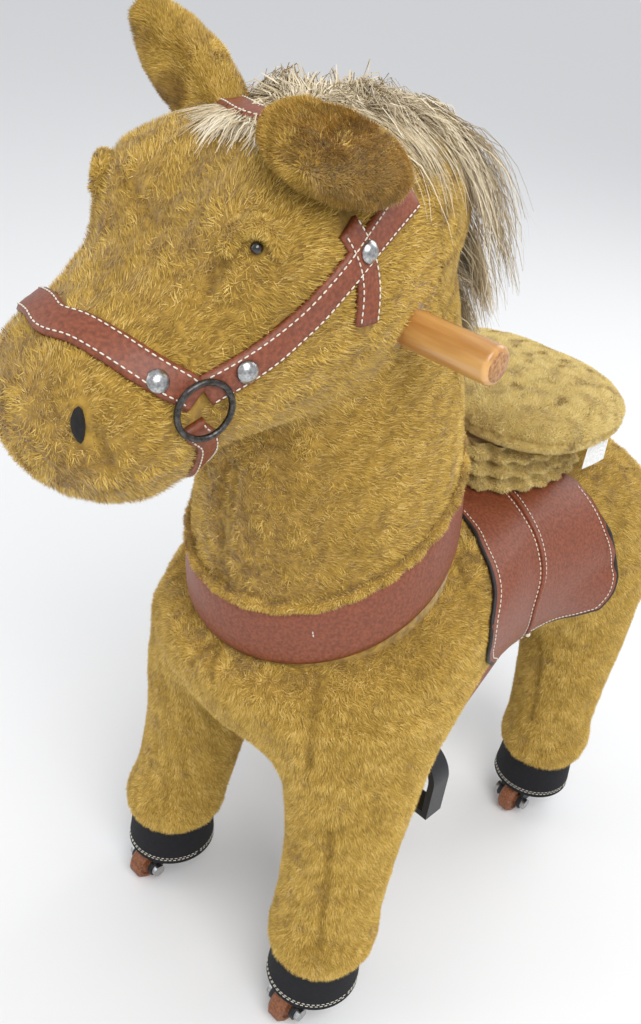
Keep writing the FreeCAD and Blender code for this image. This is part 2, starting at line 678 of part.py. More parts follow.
def main():
    os.makedirs("parts", exist_ok=True)
    save("spine_tube", spine_tube())
    save("front_bracket", axle_bracket(SHOULDER_Y, PIN_R))
    save("rear_bracket", axle_bracket(HIP_Y, SHAFT_R + RUN))
    save("shoulder_axle", shoulder_axle())
    save("bracket_bolts", bracket_bolts())
    save("stirrup_hangers", stirrup_hangers())
    save("stirrup_straps", stirrup_straps())
    save_pairs("stirrup", stirrup())
    save("torso_padding", torso_padding())
    save("saddle_flap_left", saddle_flap(1))
    save("saddle_flap_right", saddle_flap(-1))
    save("tail", tail())

    save("front_yoke", front_yoke())
    save("chest_padding", chest_padding())

    save("steering_column", steering_column())
    save("fork_crown", fork_crown())
    start, end = front_leg_axis()
    save("front_leg_tubes", leg_tubes(start, end, block((0, -200, 312), (200, 0, 400))))
    save_pairs("front_leg_padding", front_leg_padding())
    save_pairs("front_hoof", hoof(FRONT_HOOF, start, end))
    save_pairs("front_cuff", cuff(FRONT_HOOF))
    save("front_axles", wheel_axles(FRONT_HOOF))
    save("neck_padding", neck_padding())
    save("head_padding", head_padding())
    save("ear_left", left_ear())
    save("ear_right", right_ear())
    save("eyes", eyes())
    save("nostrils", nostrils())
    save("mane", mane())
    save("breast_collar", breast_collar())
    save("noseband", noseband())
    save("crown_strap", crown_strap())
    save("cheek_straps", cheek_straps())
    save("bridle_rings", bridle_rings())
    save("bridle_studs", bridle_studs())
    save("handle", handle())
    save("handle_clamp", handle_clamp())
    save("handle_cuffs", handle_cuffs())

    start, end = rear_leg_axis()
    save("rear_yoke", rear_yoke())
    save("rear_leg_tubes", leg_tubes(start, end, cross_rod(HIP_Y, AXLE_Z, 200, SHAFT_R)))
    save_pairs("rear_leg_padding", rear_leg_padding())
    save_pairs("rear_hoof", hoof(REAR_HOOF, start, end))
    save_pairs("rear_cuff", cuff(REAR_HOOF))
    save("rear_axles", wheel_axles(REAR_HOOF))

    save("seat_post", seat_post())
    save("seat_board", seat_board())
    save("seat_cushion", seat_cushion())
    save("seat_skirt", seat_skirt())
    save("seat_tag", seat_tag())
    save("return_spring", return_spring())

    save_pairs("wheel_front", wheel(FRONT_HOOF))
    save_pairs("wheel_rear", wheel(REAR_HOOF))


main()
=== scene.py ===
import json
import math

import bpy
import numpy as np
from mathutils import Matrix, Vector


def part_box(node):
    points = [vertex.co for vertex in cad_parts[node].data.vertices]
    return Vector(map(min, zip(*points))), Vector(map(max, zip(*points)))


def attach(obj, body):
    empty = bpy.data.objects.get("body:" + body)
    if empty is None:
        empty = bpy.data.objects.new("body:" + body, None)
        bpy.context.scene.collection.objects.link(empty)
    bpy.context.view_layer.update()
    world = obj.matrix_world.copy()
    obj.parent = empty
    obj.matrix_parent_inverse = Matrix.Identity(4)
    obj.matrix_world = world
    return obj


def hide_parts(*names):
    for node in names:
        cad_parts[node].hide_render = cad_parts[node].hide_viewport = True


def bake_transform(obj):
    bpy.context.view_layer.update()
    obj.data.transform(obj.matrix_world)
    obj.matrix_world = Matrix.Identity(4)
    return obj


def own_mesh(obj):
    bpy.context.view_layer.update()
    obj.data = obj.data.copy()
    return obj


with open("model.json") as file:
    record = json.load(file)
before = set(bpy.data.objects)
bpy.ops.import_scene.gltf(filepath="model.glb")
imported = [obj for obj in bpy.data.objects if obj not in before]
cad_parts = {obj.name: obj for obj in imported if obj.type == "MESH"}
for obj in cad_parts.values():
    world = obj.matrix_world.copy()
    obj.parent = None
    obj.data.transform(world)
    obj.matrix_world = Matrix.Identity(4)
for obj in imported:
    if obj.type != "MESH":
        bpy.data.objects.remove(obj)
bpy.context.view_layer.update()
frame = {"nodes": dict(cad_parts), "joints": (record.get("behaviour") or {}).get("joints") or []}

# Places read from the frame, in metres
JOINTS = {joint["name"]: joint for joint in frame["joints"]}
STEER = np.array(JOINTS["steer"]["pos_m"])


def corners(node):
    """A CAD node's lowest and highest corners."""
    return [np.array(corner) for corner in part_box(node)]


def middle(node):
    low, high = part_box(node)
    return np.array((low + high) / 2)


FRONT_HOOF = middle("front_hoof_left")
REAR_HOOF = middle("rear_hoof_left")
SEAT_LOW, SEAT_HIGH = corners("seat_cushion")


# ---------------------------------------------------------------- fields of stuffed forms

def smooth_union(a, b, reach):
    """The smaller of two fields, melted together over a reach."""
    share = np.clip(0.5 + 0.5 * (b - a) / reach, 0, 1)
    return b * (1 - share) + a * share - reach * share * (1 - share)


def smooth_cut(a, b, reach):
    """Field a with the inside of field b taken away."""
    return -smooth_union(-a, b, reach)


def ball(p, centre, radii):
    """An ellipsoid's field."""
    radii = np.array(radii)
    rel = (p - np.array(centre)) / radii
    near = np.linalg.norm(rel, axis=1) + 1e-9
    slope = np.linalg.norm(rel / radii, axis=1) + 1e-9
    return near * (near - 1) / slope


def capsule(p, a, b, radius):
    a, b = np.array(a), np.array(b)
    t = np.clip((p - a) @ (b - a) / ((b - a) @ (b - a)), 0, 1)
    return np.linalg.norm(p - a - t[:, None] * (b - a), axis=1) - radius


class Loft:
    """A stuffed form through ovals (t, a, b, ra, rb) along an axis of its own."""

    def __init__(self, stations, origin, t_axis, a_axis, b_axis, square=2.0):
        table = np.array(stations, float)
        fine = np.linspace(0, len(table) - 1, 240)
        rows = []
        for place in fine:
            i = min(int(place), len(table) - 2)
            f = place - i
            before = table[max(i - 1, 0)]
            start, end = table[i], table[i + 1]
            after = table[min(i + 2, len(table) - 1)]
            rows.append(start + 0.5 * f * (end - before + f * (
                2 * before - 5 * start + 4 * end - after + f * (3 * (start - end) + after - before))))
        self.rows = np.array(rows)
        self.origin = np.array(origin, float)
        self.axes = [np.array(v, float) for v in (t_axis, a_axis, b_axis)]
        self.square = square

    def at(self, p):
        rel = p - self.origin
        t, a, b = (rel @ axis for axis in self.axes)
        low, high = self.rows[0, 0], self.rows[-1, 0]
        held = np.clip(t, low, high)
        ca, cb, ra, rb = (np.interp(held, self.rows[:, 0], self.rows[:, k]) for k in range(1, 5))
        power = self.square
        near = (np.abs((a - ca) / ra) ** power + np.abs((b - cb) / rb) ** power) ** (1 / power)
        flat = (near - 1) * np.minimum(ra, rb)
        past = np.abs(t - held)
        return np.where(past > 0, np.hypot(np.maximum(flat, 0), past), flat)


X_AXIS, Y_AXIS, Z_AXIS = np.eye(3)

TORSO = Loft([
    (-0.224, 0, 0.438, 0.026, 0.022), (-0.218, 0, 0.437, 0.056, 0.05), (-0.202, 0, 0.436, 0.086, 0.076),
    (-0.17, 0, 0.433, 0.12, 0.091), (-0.12, 0, 0.43, 0.142, 0.098), (-0.06, 0, 0.425, 0.15, 0.101),
    (0.02, 0, 0.417, 0.137, 0.099), (0.09, 0, 0.412, 0.128, 0.097), (0.17, 0, 0.412, 0.134, 0.094),
    (0.25, 0, 0.414, 0.146, 0.091), (0.3, 0, 0.417, 0.136, 0.079), (0.328, 0, 0.42, 0.102, 0.059),
    (0.34, 0, 0.421, 0.05, 0.03),
], (0, 0, 0), Y_AXIS, X_AXIS, Z_AXIS, 2.4)

# The neck's base is the slanted ring that the breast collar lies on
RING = np.array([0, -0.083, 0.467])
RING_UP = np.array([0, -math.sin(math.radians(20)), math.cos(math.radians(20))])

NECK = Loft([
    (0.37, 0, -0.078, 0.085, 0.085), (0.41, 0, -0.08, 0.108, 0.11), (0.46, 0, -0.083, 0.112, 0.117),
    (0.56, 0, -0.088, 0.101, 0.117), (0.65, 0, -0.093, 0.087, 0.106), (0.73, 0, -0.102, 0.074, 0.088),
    (0.78, 0, -0.11, 0.062, 0.069), (0.812, 0, -0.11, 0.046, 0.05), (0.828, 0, -0.108, 0.024, 0.027),
], (0, 0, 0), Z_AXIS, X_AXIS, Y_AXIS)

HEAD_AXIS = np.array([0, -math.cos(math.radians(30)), -math.sin(math.radians(30))])
HEAD_UP = np.array([0, -math.sin(math.radians(30)), math.cos(math.radians(30))])
HEAD_ORIGIN = np.array([0, -0.1, 0.815])
HEAD = Loft([
    (-0.06, 0, -0.038, 0.02, 0.016), (-0.045, 0, -0.031, 0.05, 0.04), (-0.02, 0, -0.025, 0.068, 0.052),
    (0.01, 0, -0.016, 0.083, 0.062), (0.05, 0, -0.005, 0.091, 0.071), (0.1, 0, 0.005, 0.092, 0.08),
    (0.15, 0, 0.004, 0.088, 0.07), (0.19, 0, 0.001, 0.082, 0.06), (0.226, 0, -0.002, 0.072, 0.057),
    (0.25, 0, -0.002, 0.055, 0.046), (0.262, 0, -0.002, 0.02, 0.02),
], HEAD_ORIGIN, HEAD_AXIS, X_AXIS, HEAD_UP, 2.35)


def leg_form(stations, hoof):
    """A leg from its root down to the rounded rim over the cuff; t is the height."""
    rim = [
        (0.118, hoof[0], hoof[1] + 0.004, 0.0495, 0.053), (0.104, hoof[0], hoof[1] + 0.003, 0.049, 0.052),
        (0.094, hoof[0], hoof[1] + 0.002, 0.045, 0.048), (0.09, hoof[0], hoof[1], 0.034, 0.036),
    ]
    upward = list(reversed(stations + rim))
    return Loft(upward, (0, 0, 0), Z_AXIS, X_AXIS, Y_AXIS)


FRONT_LEG = leg_form([
    (0.4, 0.08, -0.085, 0.03, 0.04), (0.385, 0.086, -0.09, 0.052, 0.074), (0.34, 0.093, -0.098, 0.057, 0.083),
    (0.29, 0.098, -0.108, 0.055, 0.072), (0.22, 0.104, -0.118, 0.049, 0.057), (0.15, 0.109, -0.129, 0.047,
                                                                               0.052),
], FRONT_HOOF)
REAR_LEG = leg_form([
    (0.42, 0.08, 0.25, 0.03, 0.04), (0.4, 0.088, 0.255, 0.052, 0.072), (0.35, 0.096, 0.261, 0.056, 0.077),
    (0.29, 0.1, 0.265, 0.054, 0.067), (0.22, 0.101, 0.268, 0.049, 0.058), (0.15, 0.102, 0.27, 0.046, 0.052),
], REAR_HOOF)


CHEST_MIDDLE, CHEST_RADII = (0, -0.12, 0.352), (0.08, 0.072, 0.052)


def body_field(p):
    """The barrel, chest and hips with all four legs."""
    side = p.copy()
    side[:, 0] = np.abs(side[:, 0])
    legs = np.minimum(FRONT_LEG.at(side), REAR_LEG.at(side))
    above = -((p - RING) @ RING_UP) - 0.004
    trunk = smooth_cut(TORSO.at(p), np.maximum(above, p[:, 1] - 0.2), 0.05)
    under_seat = (np.hypot(p[:, 0] / 0.1, (p[:, 1] - 0.153) / 0.112) - 1) * 0.1
    trunk = smooth_cut(trunk, np.maximum(0.4970 - p[:, 2], under_seat), 0.008)
    chest = ball(p, CHEST_MIDDLE, CHEST_RADII)
    return smooth_union(smooth_union(trunk, chest, 0.04), legs, 0.045)


def neck_field(p):
    return NECK.at(p)


def head_field(p):
    """The head with its brows, cheeks, muzzle bulb and chin."""
    side = p.copy()
    side[:, 0] = np.abs(side[:, 0])
    d = HEAD.at(p)
    d = smooth_union(d, ball(side, (0.05, -0.232, 0.79), (0.038, 0.044, 0.034)), 0.03)
    d = smooth_union(d, ball(side, (0.038, -0.176, 0.738), (0.054, 0.066, 0.054)), 0.035)
    d = smooth_union(d, ball(side, (0.026, -0.22, 0.702), (0.046, 0.066, 0.046)), 0.035)
    muzzle = ball(p, (0, -0.323, 0.686), (0.072, 0.062, 0.063))
    d = smooth_union(d, muzzle, 0.014)
    chin = ball(p, (0, -0.3, 0.65), (0.046, 0.04, 0.026))
    return smooth_union(d, chin, 0.022)


def head_neck_field(p):
    return smooth_union(head_field(p), neck_field(p), 0.03)


# ---------------------------------------------------------------- meshes from fields

def field_slope(field, p, step=0.0008):
    """The field's gradient."""
    parts = [(field(p + axis * step) - field(p - axis * step)) / (2 * step) for axis in np.eye(3)]
    return np.stack(parts, axis=1)


def settle(field, p, level=0.0, rounds=3):
    """Moves points onto the field's surface at a level, and gives them with their normals."""
    for _ in range(rounds):
        slope = field_slope(field, p)
        size = (slope * slope).sum(1) + 1e-9
        p = p - ((field(p) - level) / size)[:, None] * slope
    slope = field_slope(field, p)
    return p, slope / (np.linalg.norm(slope, axis=1)[:, None] + 1e-9)


def surface_net(field, low, high, cell):
    """Quads over the surface of a field inside a box, one vertex to each cell it passes."""
    low, high = np.array(low, float), np.array(high, float)
    count = np.ceil((high - low) / cell).astype(int) + 1
    axes = [low[k] + cell * np.arange(count[k]) for k in range(3)]
    grid = np.stack(np.meshgrid(*axes, indexing="ij"), axis=-1)
    value = field(grid.reshape(-1, 3)).reshape(count)
    inside = value < 0
    total = np.zeros(count - 1, int)
    centre = np.zeros((*(count - 1), 3))
    hits = np.zeros(count - 1)
    corner = [(i, j, k) for i in (0, 1) for j in (0, 1) for k in (0, 1)]

    def part(array, offset):
        return array[tuple(slice(o, o + n - 1) for o, n in zip(offset, count))]

    for offset in corner:
        total += part(inside, offset)
    for axis in range(3):
        for offset in (c for c in corner if c[axis] == 0):
            other = tuple(o + (k == axis) for k, o in enumerate(offset))
            va, vb = part(value, offset), part(value, other)
            crosses = part(inside, offset) != part(inside, other)
            share = np.where(crosses, va / np.where(crosses, va - vb, 1), 0)
            for k in range(3):
                centre[..., k] += crosses * (offset[k] + (share if k == axis else 0))
            hits += crosses
    active = (total > 0) & (total < 8)
    index = np.full(count - 1, -1)
    index[active] = np.arange(active.sum())
    cells = np.argwhere(active)
    verts = low + cell * (cells + centre[active] / hits[active][:, None])
    quads = []
    for axis in range(3):
        u, v = (axis + 1) % 3, (axis + 2) % 3
        first = [slice(1, -1)] * 3
        first[axis] = slice(0, -1)
        second = list(first)
        second[axis] = slice(1, None)
        here, there = inside[tuple(first)], inside[tuple(second)]
        spots = np.argwhere(here != there)
        flip = here[tuple(spots.T)]
        spots[:, u] += 1
        spots[:, v] += 1
        around = []
        for du, dv in ((-1, -1), (0, -1), (0, 0), (-1, 0)):
            at = spots.copy()
            at[:, u] += du
            at[:, v] += dv
            around.append(index[tuple(at.T)])
        quad = np.stack(around, axis=1)
        quad[~flip] = quad[~flip][:, ::-1]
        quads.append(quad)
    return verts, np.concatenate(quads)


def relax(verts, quads, rounds):
    """Evens out the spacing of a mesh by moving each vertex to its neighbours' mean."""
    edges = np.concatenate([quads[:, [k, (k + 1) % 4]] for k in range(4)])
    ends = np.concatenate([edges, edges[:, ::-1]])
    weight = np.bincount(ends[:, 0], minlength=len(verts))[:, None]
    for _ in range(rounds):
        mean = np.stack([np.bincount(ends[:, 0], verts[ends[:, 1], k], len(verts)) for k in range(3)], 1)
        verts = verts * 0.4 + mean / weight * 0.6
    return verts


def skin_of(field, low, high, cell, rounds=4):
    """A smooth quad skin with its vertex normals."""
    verts, quads = surface_net(field, low, high, cell)
    verts = relax(verts, quads, rounds)
    verts, normals = settle(field, verts)
    return verts, quads, normals


def make_mesh(name, verts, faces, materials, slots=None, smooth=True):
    """A mesh object from arrays of points and of faces that all have the same number of corners."""
    mesh = bpy.data.meshes.new(name)
    sides = faces.shape[1]
    mesh.vertices.add(len(verts))
    mesh.vertices.foreach_set("co", np.ascontiguousarray(verts, np.float32).ravel())
    mesh.loops.add(faces.size)
    mesh.loops.foreach_set("vertex_index", np.ascontiguousarray(faces, np.int32).ravel())
    mesh.polygons.add(len(faces))
    mesh.polygons.foreach_set("loop_start", np.arange(0, faces.size, sides, dtype=np.int32))
    mesh.update(calc_edges=True)
    if smooth:
        mesh.polygons.foreach_set("use_smooth", np.ones(len(faces), bool))
    for material in materials:
        mesh.materials.append(material)
    if slots is not None:
        mesh.polygons.foreach_set("material_index", np.ascontiguousarray(slots, np.int32))
    made = bpy.data.objects.new(name, mesh)
    bpy.context.scene.collection.objects.link(made)
    return made


def part_of(verts, quads, normals, keep):
    """The faces marked keep, with only the points they use."""
    chosen = quads[keep]
    used, flat = np.unique(chosen, return_inverse=True)
    return verts[used], flat.reshape(chosen.shape), normals[used]


# ---------------------------------------------------------------- materials

def new_material(name, colour, roughness=0.6, metallic=0.0, sheen=0.0, coat=0.0):
    material = bpy.data.materials.new(name)
    material.use_nodes = True
    shader = material.node_tree.nodes["Principled BSDF"]
    shader.inputs["Base Color"].default_value = (*colour, 1)
    shader.inputs["Roughness"].default_value = roughness
    shader.inputs["Metallic"].default_value = metallic
    shader.inputs["Sheen Weight"].default_value = sheen
    shader.inputs["Coat Weight"].default_value = coat
    return material, material.node_tree, shader


def srgb(r, g, b):
    """A colour given as seen, 0 to 255, in the shader's own linear values."""
    parts = []
    for value in (r, g, b):
        c = value / 255
        parts.append(c / 12.92 if c <= 0.04045 else ((c + 0.055) / 1.055) ** 2.4)
    return tuple(parts)


def grained(name, dark, light, roughness, scale, depth, stretch=(1, 1, 1), kind="noise", **finish):
    """A material that wanders between two shades, with bumps of its own grain; scale is per metre."""
    material, tree, shader = new_material(name, light, roughness, **finish)
    nodes, link = tree.nodes, tree.links.new
    place = nodes.new("ShaderNodeTexCoord")
    mapping = nodes.new("ShaderNodeMapping")
    mapping.inputs["Scale"].default_value = stretch
    link(place.outputs["Object"], mapping.inputs["Vector"])
    wander = nodes.new("ShaderNodeTexNoise")
    wander.inputs["Scale"].default_value = scale * (0.25 if kind != "noise" else 1)
    wander.inputs["Detail"].default_value = 5
    link(mapping.outputs["Vector"], wander.inputs["Vector"])
    ramp = nodes.new("ShaderNodeValToRGB")
    ramp.color_ramp.elements[0].position = 0.36
    ramp.color_ramp.elements[0].color = (*dark, 1)
    ramp.color_ramp.elements[1].position = 0.66
    ramp.color_ramp.elements[1].color = (*light, 1)
    link(wander.outputs["Fac"], ramp.inputs["Fac"])
    link(ramp.outputs["Color"], shader.inputs["Base Color"])
    height = wander.outputs["Fac"]
    if kind == "cells":
        cells = nodes.new("ShaderNodeTexVoronoi")
        cells.inputs["Scale"].default_value = scale
        link(mapping.outputs["Vector"], cells.inputs["Vector"])
        height = cells.outputs["Distance"]
    if kind == "weave":
        threads = []
        for direction in ("X", "Z"):
            wave = nodes.new("ShaderNodeTexWave")
            wave.bands_direction = direction
            wave.inputs["Scale"].default_value = scale
            link(mapping.outputs["Vector"], wave.inputs["Vector"])
            threads.append(wave.outputs["Fac"])
        cross = nodes.new("ShaderNodeMath")
        cross.operation = "MULTIPLY"
        link(threads[0], cross.inputs[0])
        link(threads[1], cross.inputs[1])
        height = cross.outputs["Value"]
    bump = nodes.new("ShaderNodeBump")
    bump.inputs["Strength"].default_value = 0.7
    bump.inputs["Distance"].default_value = depth
    link(height, bump.inputs["Height"])
    link(bump.outputs["Normal"], shader.inputs["Normal"])
    return material


# The plush skins of body and seat wander at random between two shades, set darker than their pile as painted
# shade in the gaps between the blades.
SHADED_PLUSH_SKIN = grained("plush_base", srgb(134, 102, 36), srgb(176, 140, 56), 0.95, 150, 0.003, sheen=0.3)
SHADED_SEAT_SKIN = grained("seat_skin_painted_shade", srgb(160, 132, 66), srgb(206, 178, 104), 0.95, 170, 0.003, sheen=0.3)
LEATHER = grained("leather_hide", srgb(112, 56, 34), srgb(142, 76, 48), 0.5, 1500, 0.00012, kind="cells",
                  coat=0.06)
LEATHER_EDGE = grained("leather_edge", srgb(22, 18, 18), srgb(40, 34, 32), 0.5, 900, 0.0002, kind="cells")
THREAD = grained("thread", srgb(214, 206, 188), srgb(240, 234, 220), 0.8, 1500, 0.0002)
CUFF = grained("cuff_weave", srgb(6, 7, 12), srgb(14, 15, 22), 0.9, 900, 0.0002, kind="weave")
TAG = grained("tag_weave", srgb(232, 232, 228), srgb(250, 250, 247), 0.8, 1400, 0.0002, kind="weave")
FRAME_STEEL = grained("frame_steel", srgb(34, 35, 38), srgb(52, 53, 57), 0.45, 700, 0.0002, metallic=0.2)
STRIP_STEEL = grained("strip_steel", srgb(128, 130, 134), srgb(165, 167, 170), 0.34, 500, 0.0001, (1, 1, 0.1),
                      metallic=0.9)
BRIGHT = grained("bright_steel_turned", srgb(150, 150, 150), srgb(196, 196, 196), 0.3, 600, 0.0001,
                 metallic=1.0)
NICKEL = grained("dark_nickel_cast", srgb(58, 56, 54), srgb(98, 95, 92), 0.34, 420, 0.0003, metallic=0.95)
HOOF = grained("hoof_moulded", srgb(14, 14, 17), srgb(28, 28, 32), 0.5, 900, 0.0002)
STIRRUP = grained("stirrup_moulded", srgb(20, 20, 22), srgb(38, 38, 42), 0.42, 900, 0.0002)
WHEEL = grained("wheel_rubber_worn", srgb(104, 60, 34), srgb(146, 88, 52), 0.55, 420, 0.0003)
WOOD = grained("handle_wood_oiled", srgb(172, 112, 52), srgb(220, 168, 98), 0.32, 70, 0.0003, (0.12, 1, 1),
               coat=0.5)
END_WOOD = grained("handle_end_grain", srgb(150, 98, 52), srgb(196, 148, 96), 0.55, 420, 0.0002, coat=0.15)
BOARD = grained("board_ply", srgb(176, 140, 92), srgb(208, 174, 126), 0.6, 90, 0.0003, (1, 0.15, 1))
EYE = grained("eye_bead", srgb(10, 8, 8), srgb(20, 14, 12), 0.08, 200, 0.00005, coat=0.8)
NOSE = grained("nose_cloth", srgb(14, 12, 12), srgb(30, 24, 22), 0.8, 900, 0.0003, kind="weave")

PILE = [new_material(f"pile_{k}", srgb(*shade), 0.8, sheen=0.25)[0] for k, shade in enumerate(
    ((148, 116, 40), (182, 146, 56), (206, 170, 76), (230, 198, 114)))]
SEAT_PILE = [new_material(f"seat_pile_{k}", srgb(*shade), 0.8, sheen=0.25)[0] for k, shade in enumerate(
    ((192, 164, 88), (208, 182, 106), (220, 196, 124), (232, 212, 150)))]
HAIR = [new_material(f"hair_{k}", srgb(*shade), 0.62, sheen=0.15)[0] for k, shade in enumerate(
    ((160, 140, 106), (192, 174, 140), (212, 196, 164), (228, 216, 190)))]

FINISHES = {
    "plush": SHADED_PLUSH_SKIN, "seat_plush": SHADED_SEAT_SKIN, "hair": HAIR[1], "leather": LEATHER, "cuff_fabric": CUFF,
    "tag_cloth": TAG, "steel_frame": FRAME_STEEL, "steel_strip": STRIP_STEEL, "bright_steel": BRIGHT,
    "dark_nickel": NICKEL, "hoof_plastic": HOOF, "stirrup_plastic": STIRRUP, "wheel_rubber": WHEEL,
    "handle_wood": WOOD, "board_wood": BOARD, "eye_gloss": EYE, "nose_patch": NOSE,
}


def finish_nodes():
    """Gives each CAD node that is kept the material of its slot."""
    for node in frame["nodes"].values():
        for place in node.material_slots:
            base = place.material.name.split(".")[0]
            if base in FINISHES:
                place.material = FINISHES[base]


# ---------------------------------------------------------------- small shapes

def unit(v):
    return v / (np.linalg.norm(v, axis=-1, keepdims=True) + 1e-12)


def gather(parts):
    """Several (points, faces) as one."""
    verts, faces, start = [], [], 0
    for points, corners in parts:
        verts.append(points)
        faces.append(corners + start)
        start += len(points)
    return np.concatenate(verts), np.concatenate(faces)


def smooth_path(points, step, closed=False):
    """Evenly spaced points on a smooth line through the given ones."""
    points = np.array(points, float)
    ring = np.concatenate([points[-1:], points, points[:2]]) if closed else np.concatenate(
        [2 * points[:1] - points[1:2], points, 2 * points[-1:] - points[-2:-1]])
    rows = []
    for i in range(1, len(ring) - 2):
        f = np.linspace(0, 1, 24, endpoint=False)[:, None]
        a, b, c, d = ring[i - 1:i + 3]
        rows.append(b + 0.5 * f * (c - a + f * (2 * a - 5 * b + 4 * c - d + f * (3 * (b - c) + d - a))))
    rows.append(ring[-2][None])
    rows = np.concatenate(rows)
    run = np.concatenate([[0], np.cumsum(np.linalg.norm(np.diff(rows, axis=0), axis=1))])
    spots = np.linspace(0, run[-1], max(int(run[-1] / step), 3) + 1)
    if closed:
        spots = spots[:-1]
    return np.stack([np.interp(spots, run, rows[:, k]) for k in range(3)], 1)


def tangents(path, closed=False):
    if closed:
        return unit(np.roll(path, -1, 0) - np.roll(path, 1, 0))
    return unit(np.gradient(path, axis=0))


def lattice(rows, closed_rows=False, closed_ring=True):
    """Quads over a grid of points [row, place in the row]."""
    n, m = rows.shape[:2]
    index = np.arange(n * m).reshape(n, m)
    i = np.arange(n if closed_rows else n - 1)
    j = np.arange(m if closed_ring else m - 1)
    a, b = np.meshgrid(i, j, indexing="ij")
    a, b = a.ravel(), b.ravel()
    quads = np.stack([index[a, b], index[(a + 1) % n, b], index[(a + 1) % n, (b + 1) % m],
                      index[a, (b + 1) % m]], 1)
    return rows.reshape(-1, 3), quads


def shell(outer, inner, closed=False):
    """A thin closed body between two grids of points."""
    ring = np.concatenate([outer, inner[:, ::-1]], axis=1)
    verts, quads = lattice(ring, closed)
    if closed:
        return verts, quads
    width = outer.shape[1]
    caps = []
    for row, order in ((0, 1), (len(ring) - 1, -1)):
        start = row * 2 * width
        for j in range(width - 1):
            cap = [start + j, start + j + 1, start + 2 * width - 2 - j, start + 2 * width - 1 - j]
            caps.append(cap[::order])
    return verts, np.concatenate([quads, np.array(caps)])


def tube(path, radius, sides=12, up=(0.0, 0.0, 1.0), closed=False, ends=True):
    """A round tube along a path; radius is one number or one for each point."""
    way = tangents(path, closed)
    first = unit(np.cross(way, np.array(up) + 1e-4))
    second = np.cross(way, first)
    size = np.broadcast_to(radius, len(path)).astype(float).copy()
    if ends and not closed:
        size[0] *= 0.15
        size[-1] *= 0.15
    angle = np.linspace(0, 2 * math.pi, sides, endpoint=False)
    turn = np.cos(angle)[None, :, None] * first[:, None] + np.sin(angle)[None, :, None] * second[:, None]
    return lattice(path[:, None] + turn * size[:, None, None], closed)


def revolve(profile, centre, axis, sides=28):
    """A turned shape from (radius, height) pairs about an axis."""
    axis = unit(np.array(axis, float))
    first = unit(np.cross(axis, (0.31, 0.72, 0.18)))
    second = np.cross(axis, first)
    angle = np.linspace(0, 2 * math.pi, sides, endpoint=False)
    rim = np.cos(angle)[:, None] * first + np.sin(angle)[:, None] * second
    rows = np.stack([np.array(centre) + rim * max(r, 1e-5) + axis * h for r, h in profile])
    return lattice(rows)


def pills(starts, ends, normals, radius):
    """Little rounded stitches from starts to ends."""
    along = ends - starts
    across = unit(np.cross(along, normals))
    rise = unit(normals)
    angle = np.linspace(0, 2 * math.pi, 6, endpoint=False)
    share = np.array([0, 0.12, 0.5, 0.88, 1])
    size = np.array([0.25, 0.85, 1, 0.85, 0.25]) * radius
    spots = starts[:, None, None] + along[:, None, None] * share[None, :, None, None]
    rim = np.cos(angle)[None, :, None] * across[:, None] + np.sin(angle)[None, :, None] * rise[:, None]
    points = spots + rim[:, None] * size[None, :, None, None]
    local = lattice(np.zeros((5, 6, 3)))[1]
    count = len(starts)
    faces = (local[None] + 30 * np.arange(count)[:, None, None]).reshape(-1, 4)
    return points.reshape(-1, 3), faces


def stitches(path, normals, lift, pitch=0.0046, long=0.0031, radius=0.00055):
    """Stitches laid along a path that follows a surface."""
    run = np.concatenate([[0], np.cumsum(np.linalg.norm(np.diff(path, axis=0), axis=1))])
    begin = np.arange(pitch * 0.5, run[-1] - long, pitch)
    raised = path + unit(normals) * lift

    def at(table, s):
        return np.stack([np.interp(s, run, table[:, k]) for k in range(3)], 1)

    return pills(at(raised, begin), at(raised, begin + long), at(normals, begin), radius)


def place_piece(piece, body):
    """The piece rides on a body."""
    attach(piece, body)


def add_piece(name, parts, material, body, slot_name, *nodes):
    """A piece from (points, faces) parts that rides on a body."""
    verts, faces = gather(parts)
    piece = make_mesh(name, verts, faces, [material])
    place_piece(piece, body)
    if nodes:
        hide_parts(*nodes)
    return piece


def facing(verts, quads, outward):
    """The quads turned so that they face the given way."""
    corner = verts[quads]
    cross = np.cross(corner[:, 2] - corner[:, 0], corner[:, 3] - corner[:, 1])
    flip = (cross * outward[quads].mean(1)).sum(1) < 0
    return np.where(flip[:, None], quads[:, ::-1], quads)


def mirrored(parts):
    """The parts' mirror images across the middle plane."""
    return [(points * (-1, 1, 1), faces[:, ::-1]) for points, faces in parts]


def both_sides(parts):
    return parts + mirrored(parts)


# ---------------------------------------------------------------- seams and covered places

HEAD_SEAMS = [np.array(line) for line in (
    [(0.054, -0.2944, 0.7587), (0.0563, -0.2861, 0.77), (0.0613, -0.2803, 0.7842), (0.0618, -0.2767, 0.7965)],
    [(0.0000, -0.283, 0.786), (0.0071, -0.2805, 0.7895), (0.033, -0.2763, 0.8023)],
    [(0.0541, -0.3631, 0.6944), (0.0583, -0.3592, 0.6822), (0.0594, -0.355, 0.6715)],
    [(0.005, -0.2033, 0.5961), (0.0052, -0.2047, 0.5692), (0.0024, -0.2044, 0.5282), (0.004, -0.2019,
                                                                                      0.4889)],
)]
BODY_SEAMS = [np.array(line) for line in (
    [(0.0000, -0.1947, 0.4221), (0.0071, -0.2115, 0.4157), (0.0134, -0.2179, 0.4016)],
    [(0.0887, -0.1677, 0.4272), (0.0966, -0.1834, 0.404), (0.1022, -0.1829, 0.3513)],
    [(0.1254, -0.1705, 0.2828), (0.1286, -0.1669, 0.2301), (0.132, -0.1694, 0.1794), (0.1393, -0.1724,
                                                                                      0.1382)],
    [(0.0898, -0.0091, 0.4806), (0.1235, -0.0264, 0.4651), (0.1453, -0.0318, 0.4377)],
    [(0.0952, 0.1985, 0.2881), (0.1049, 0.211, 0.2139), (0.1041, 0.2167, 0.1626)],
)]


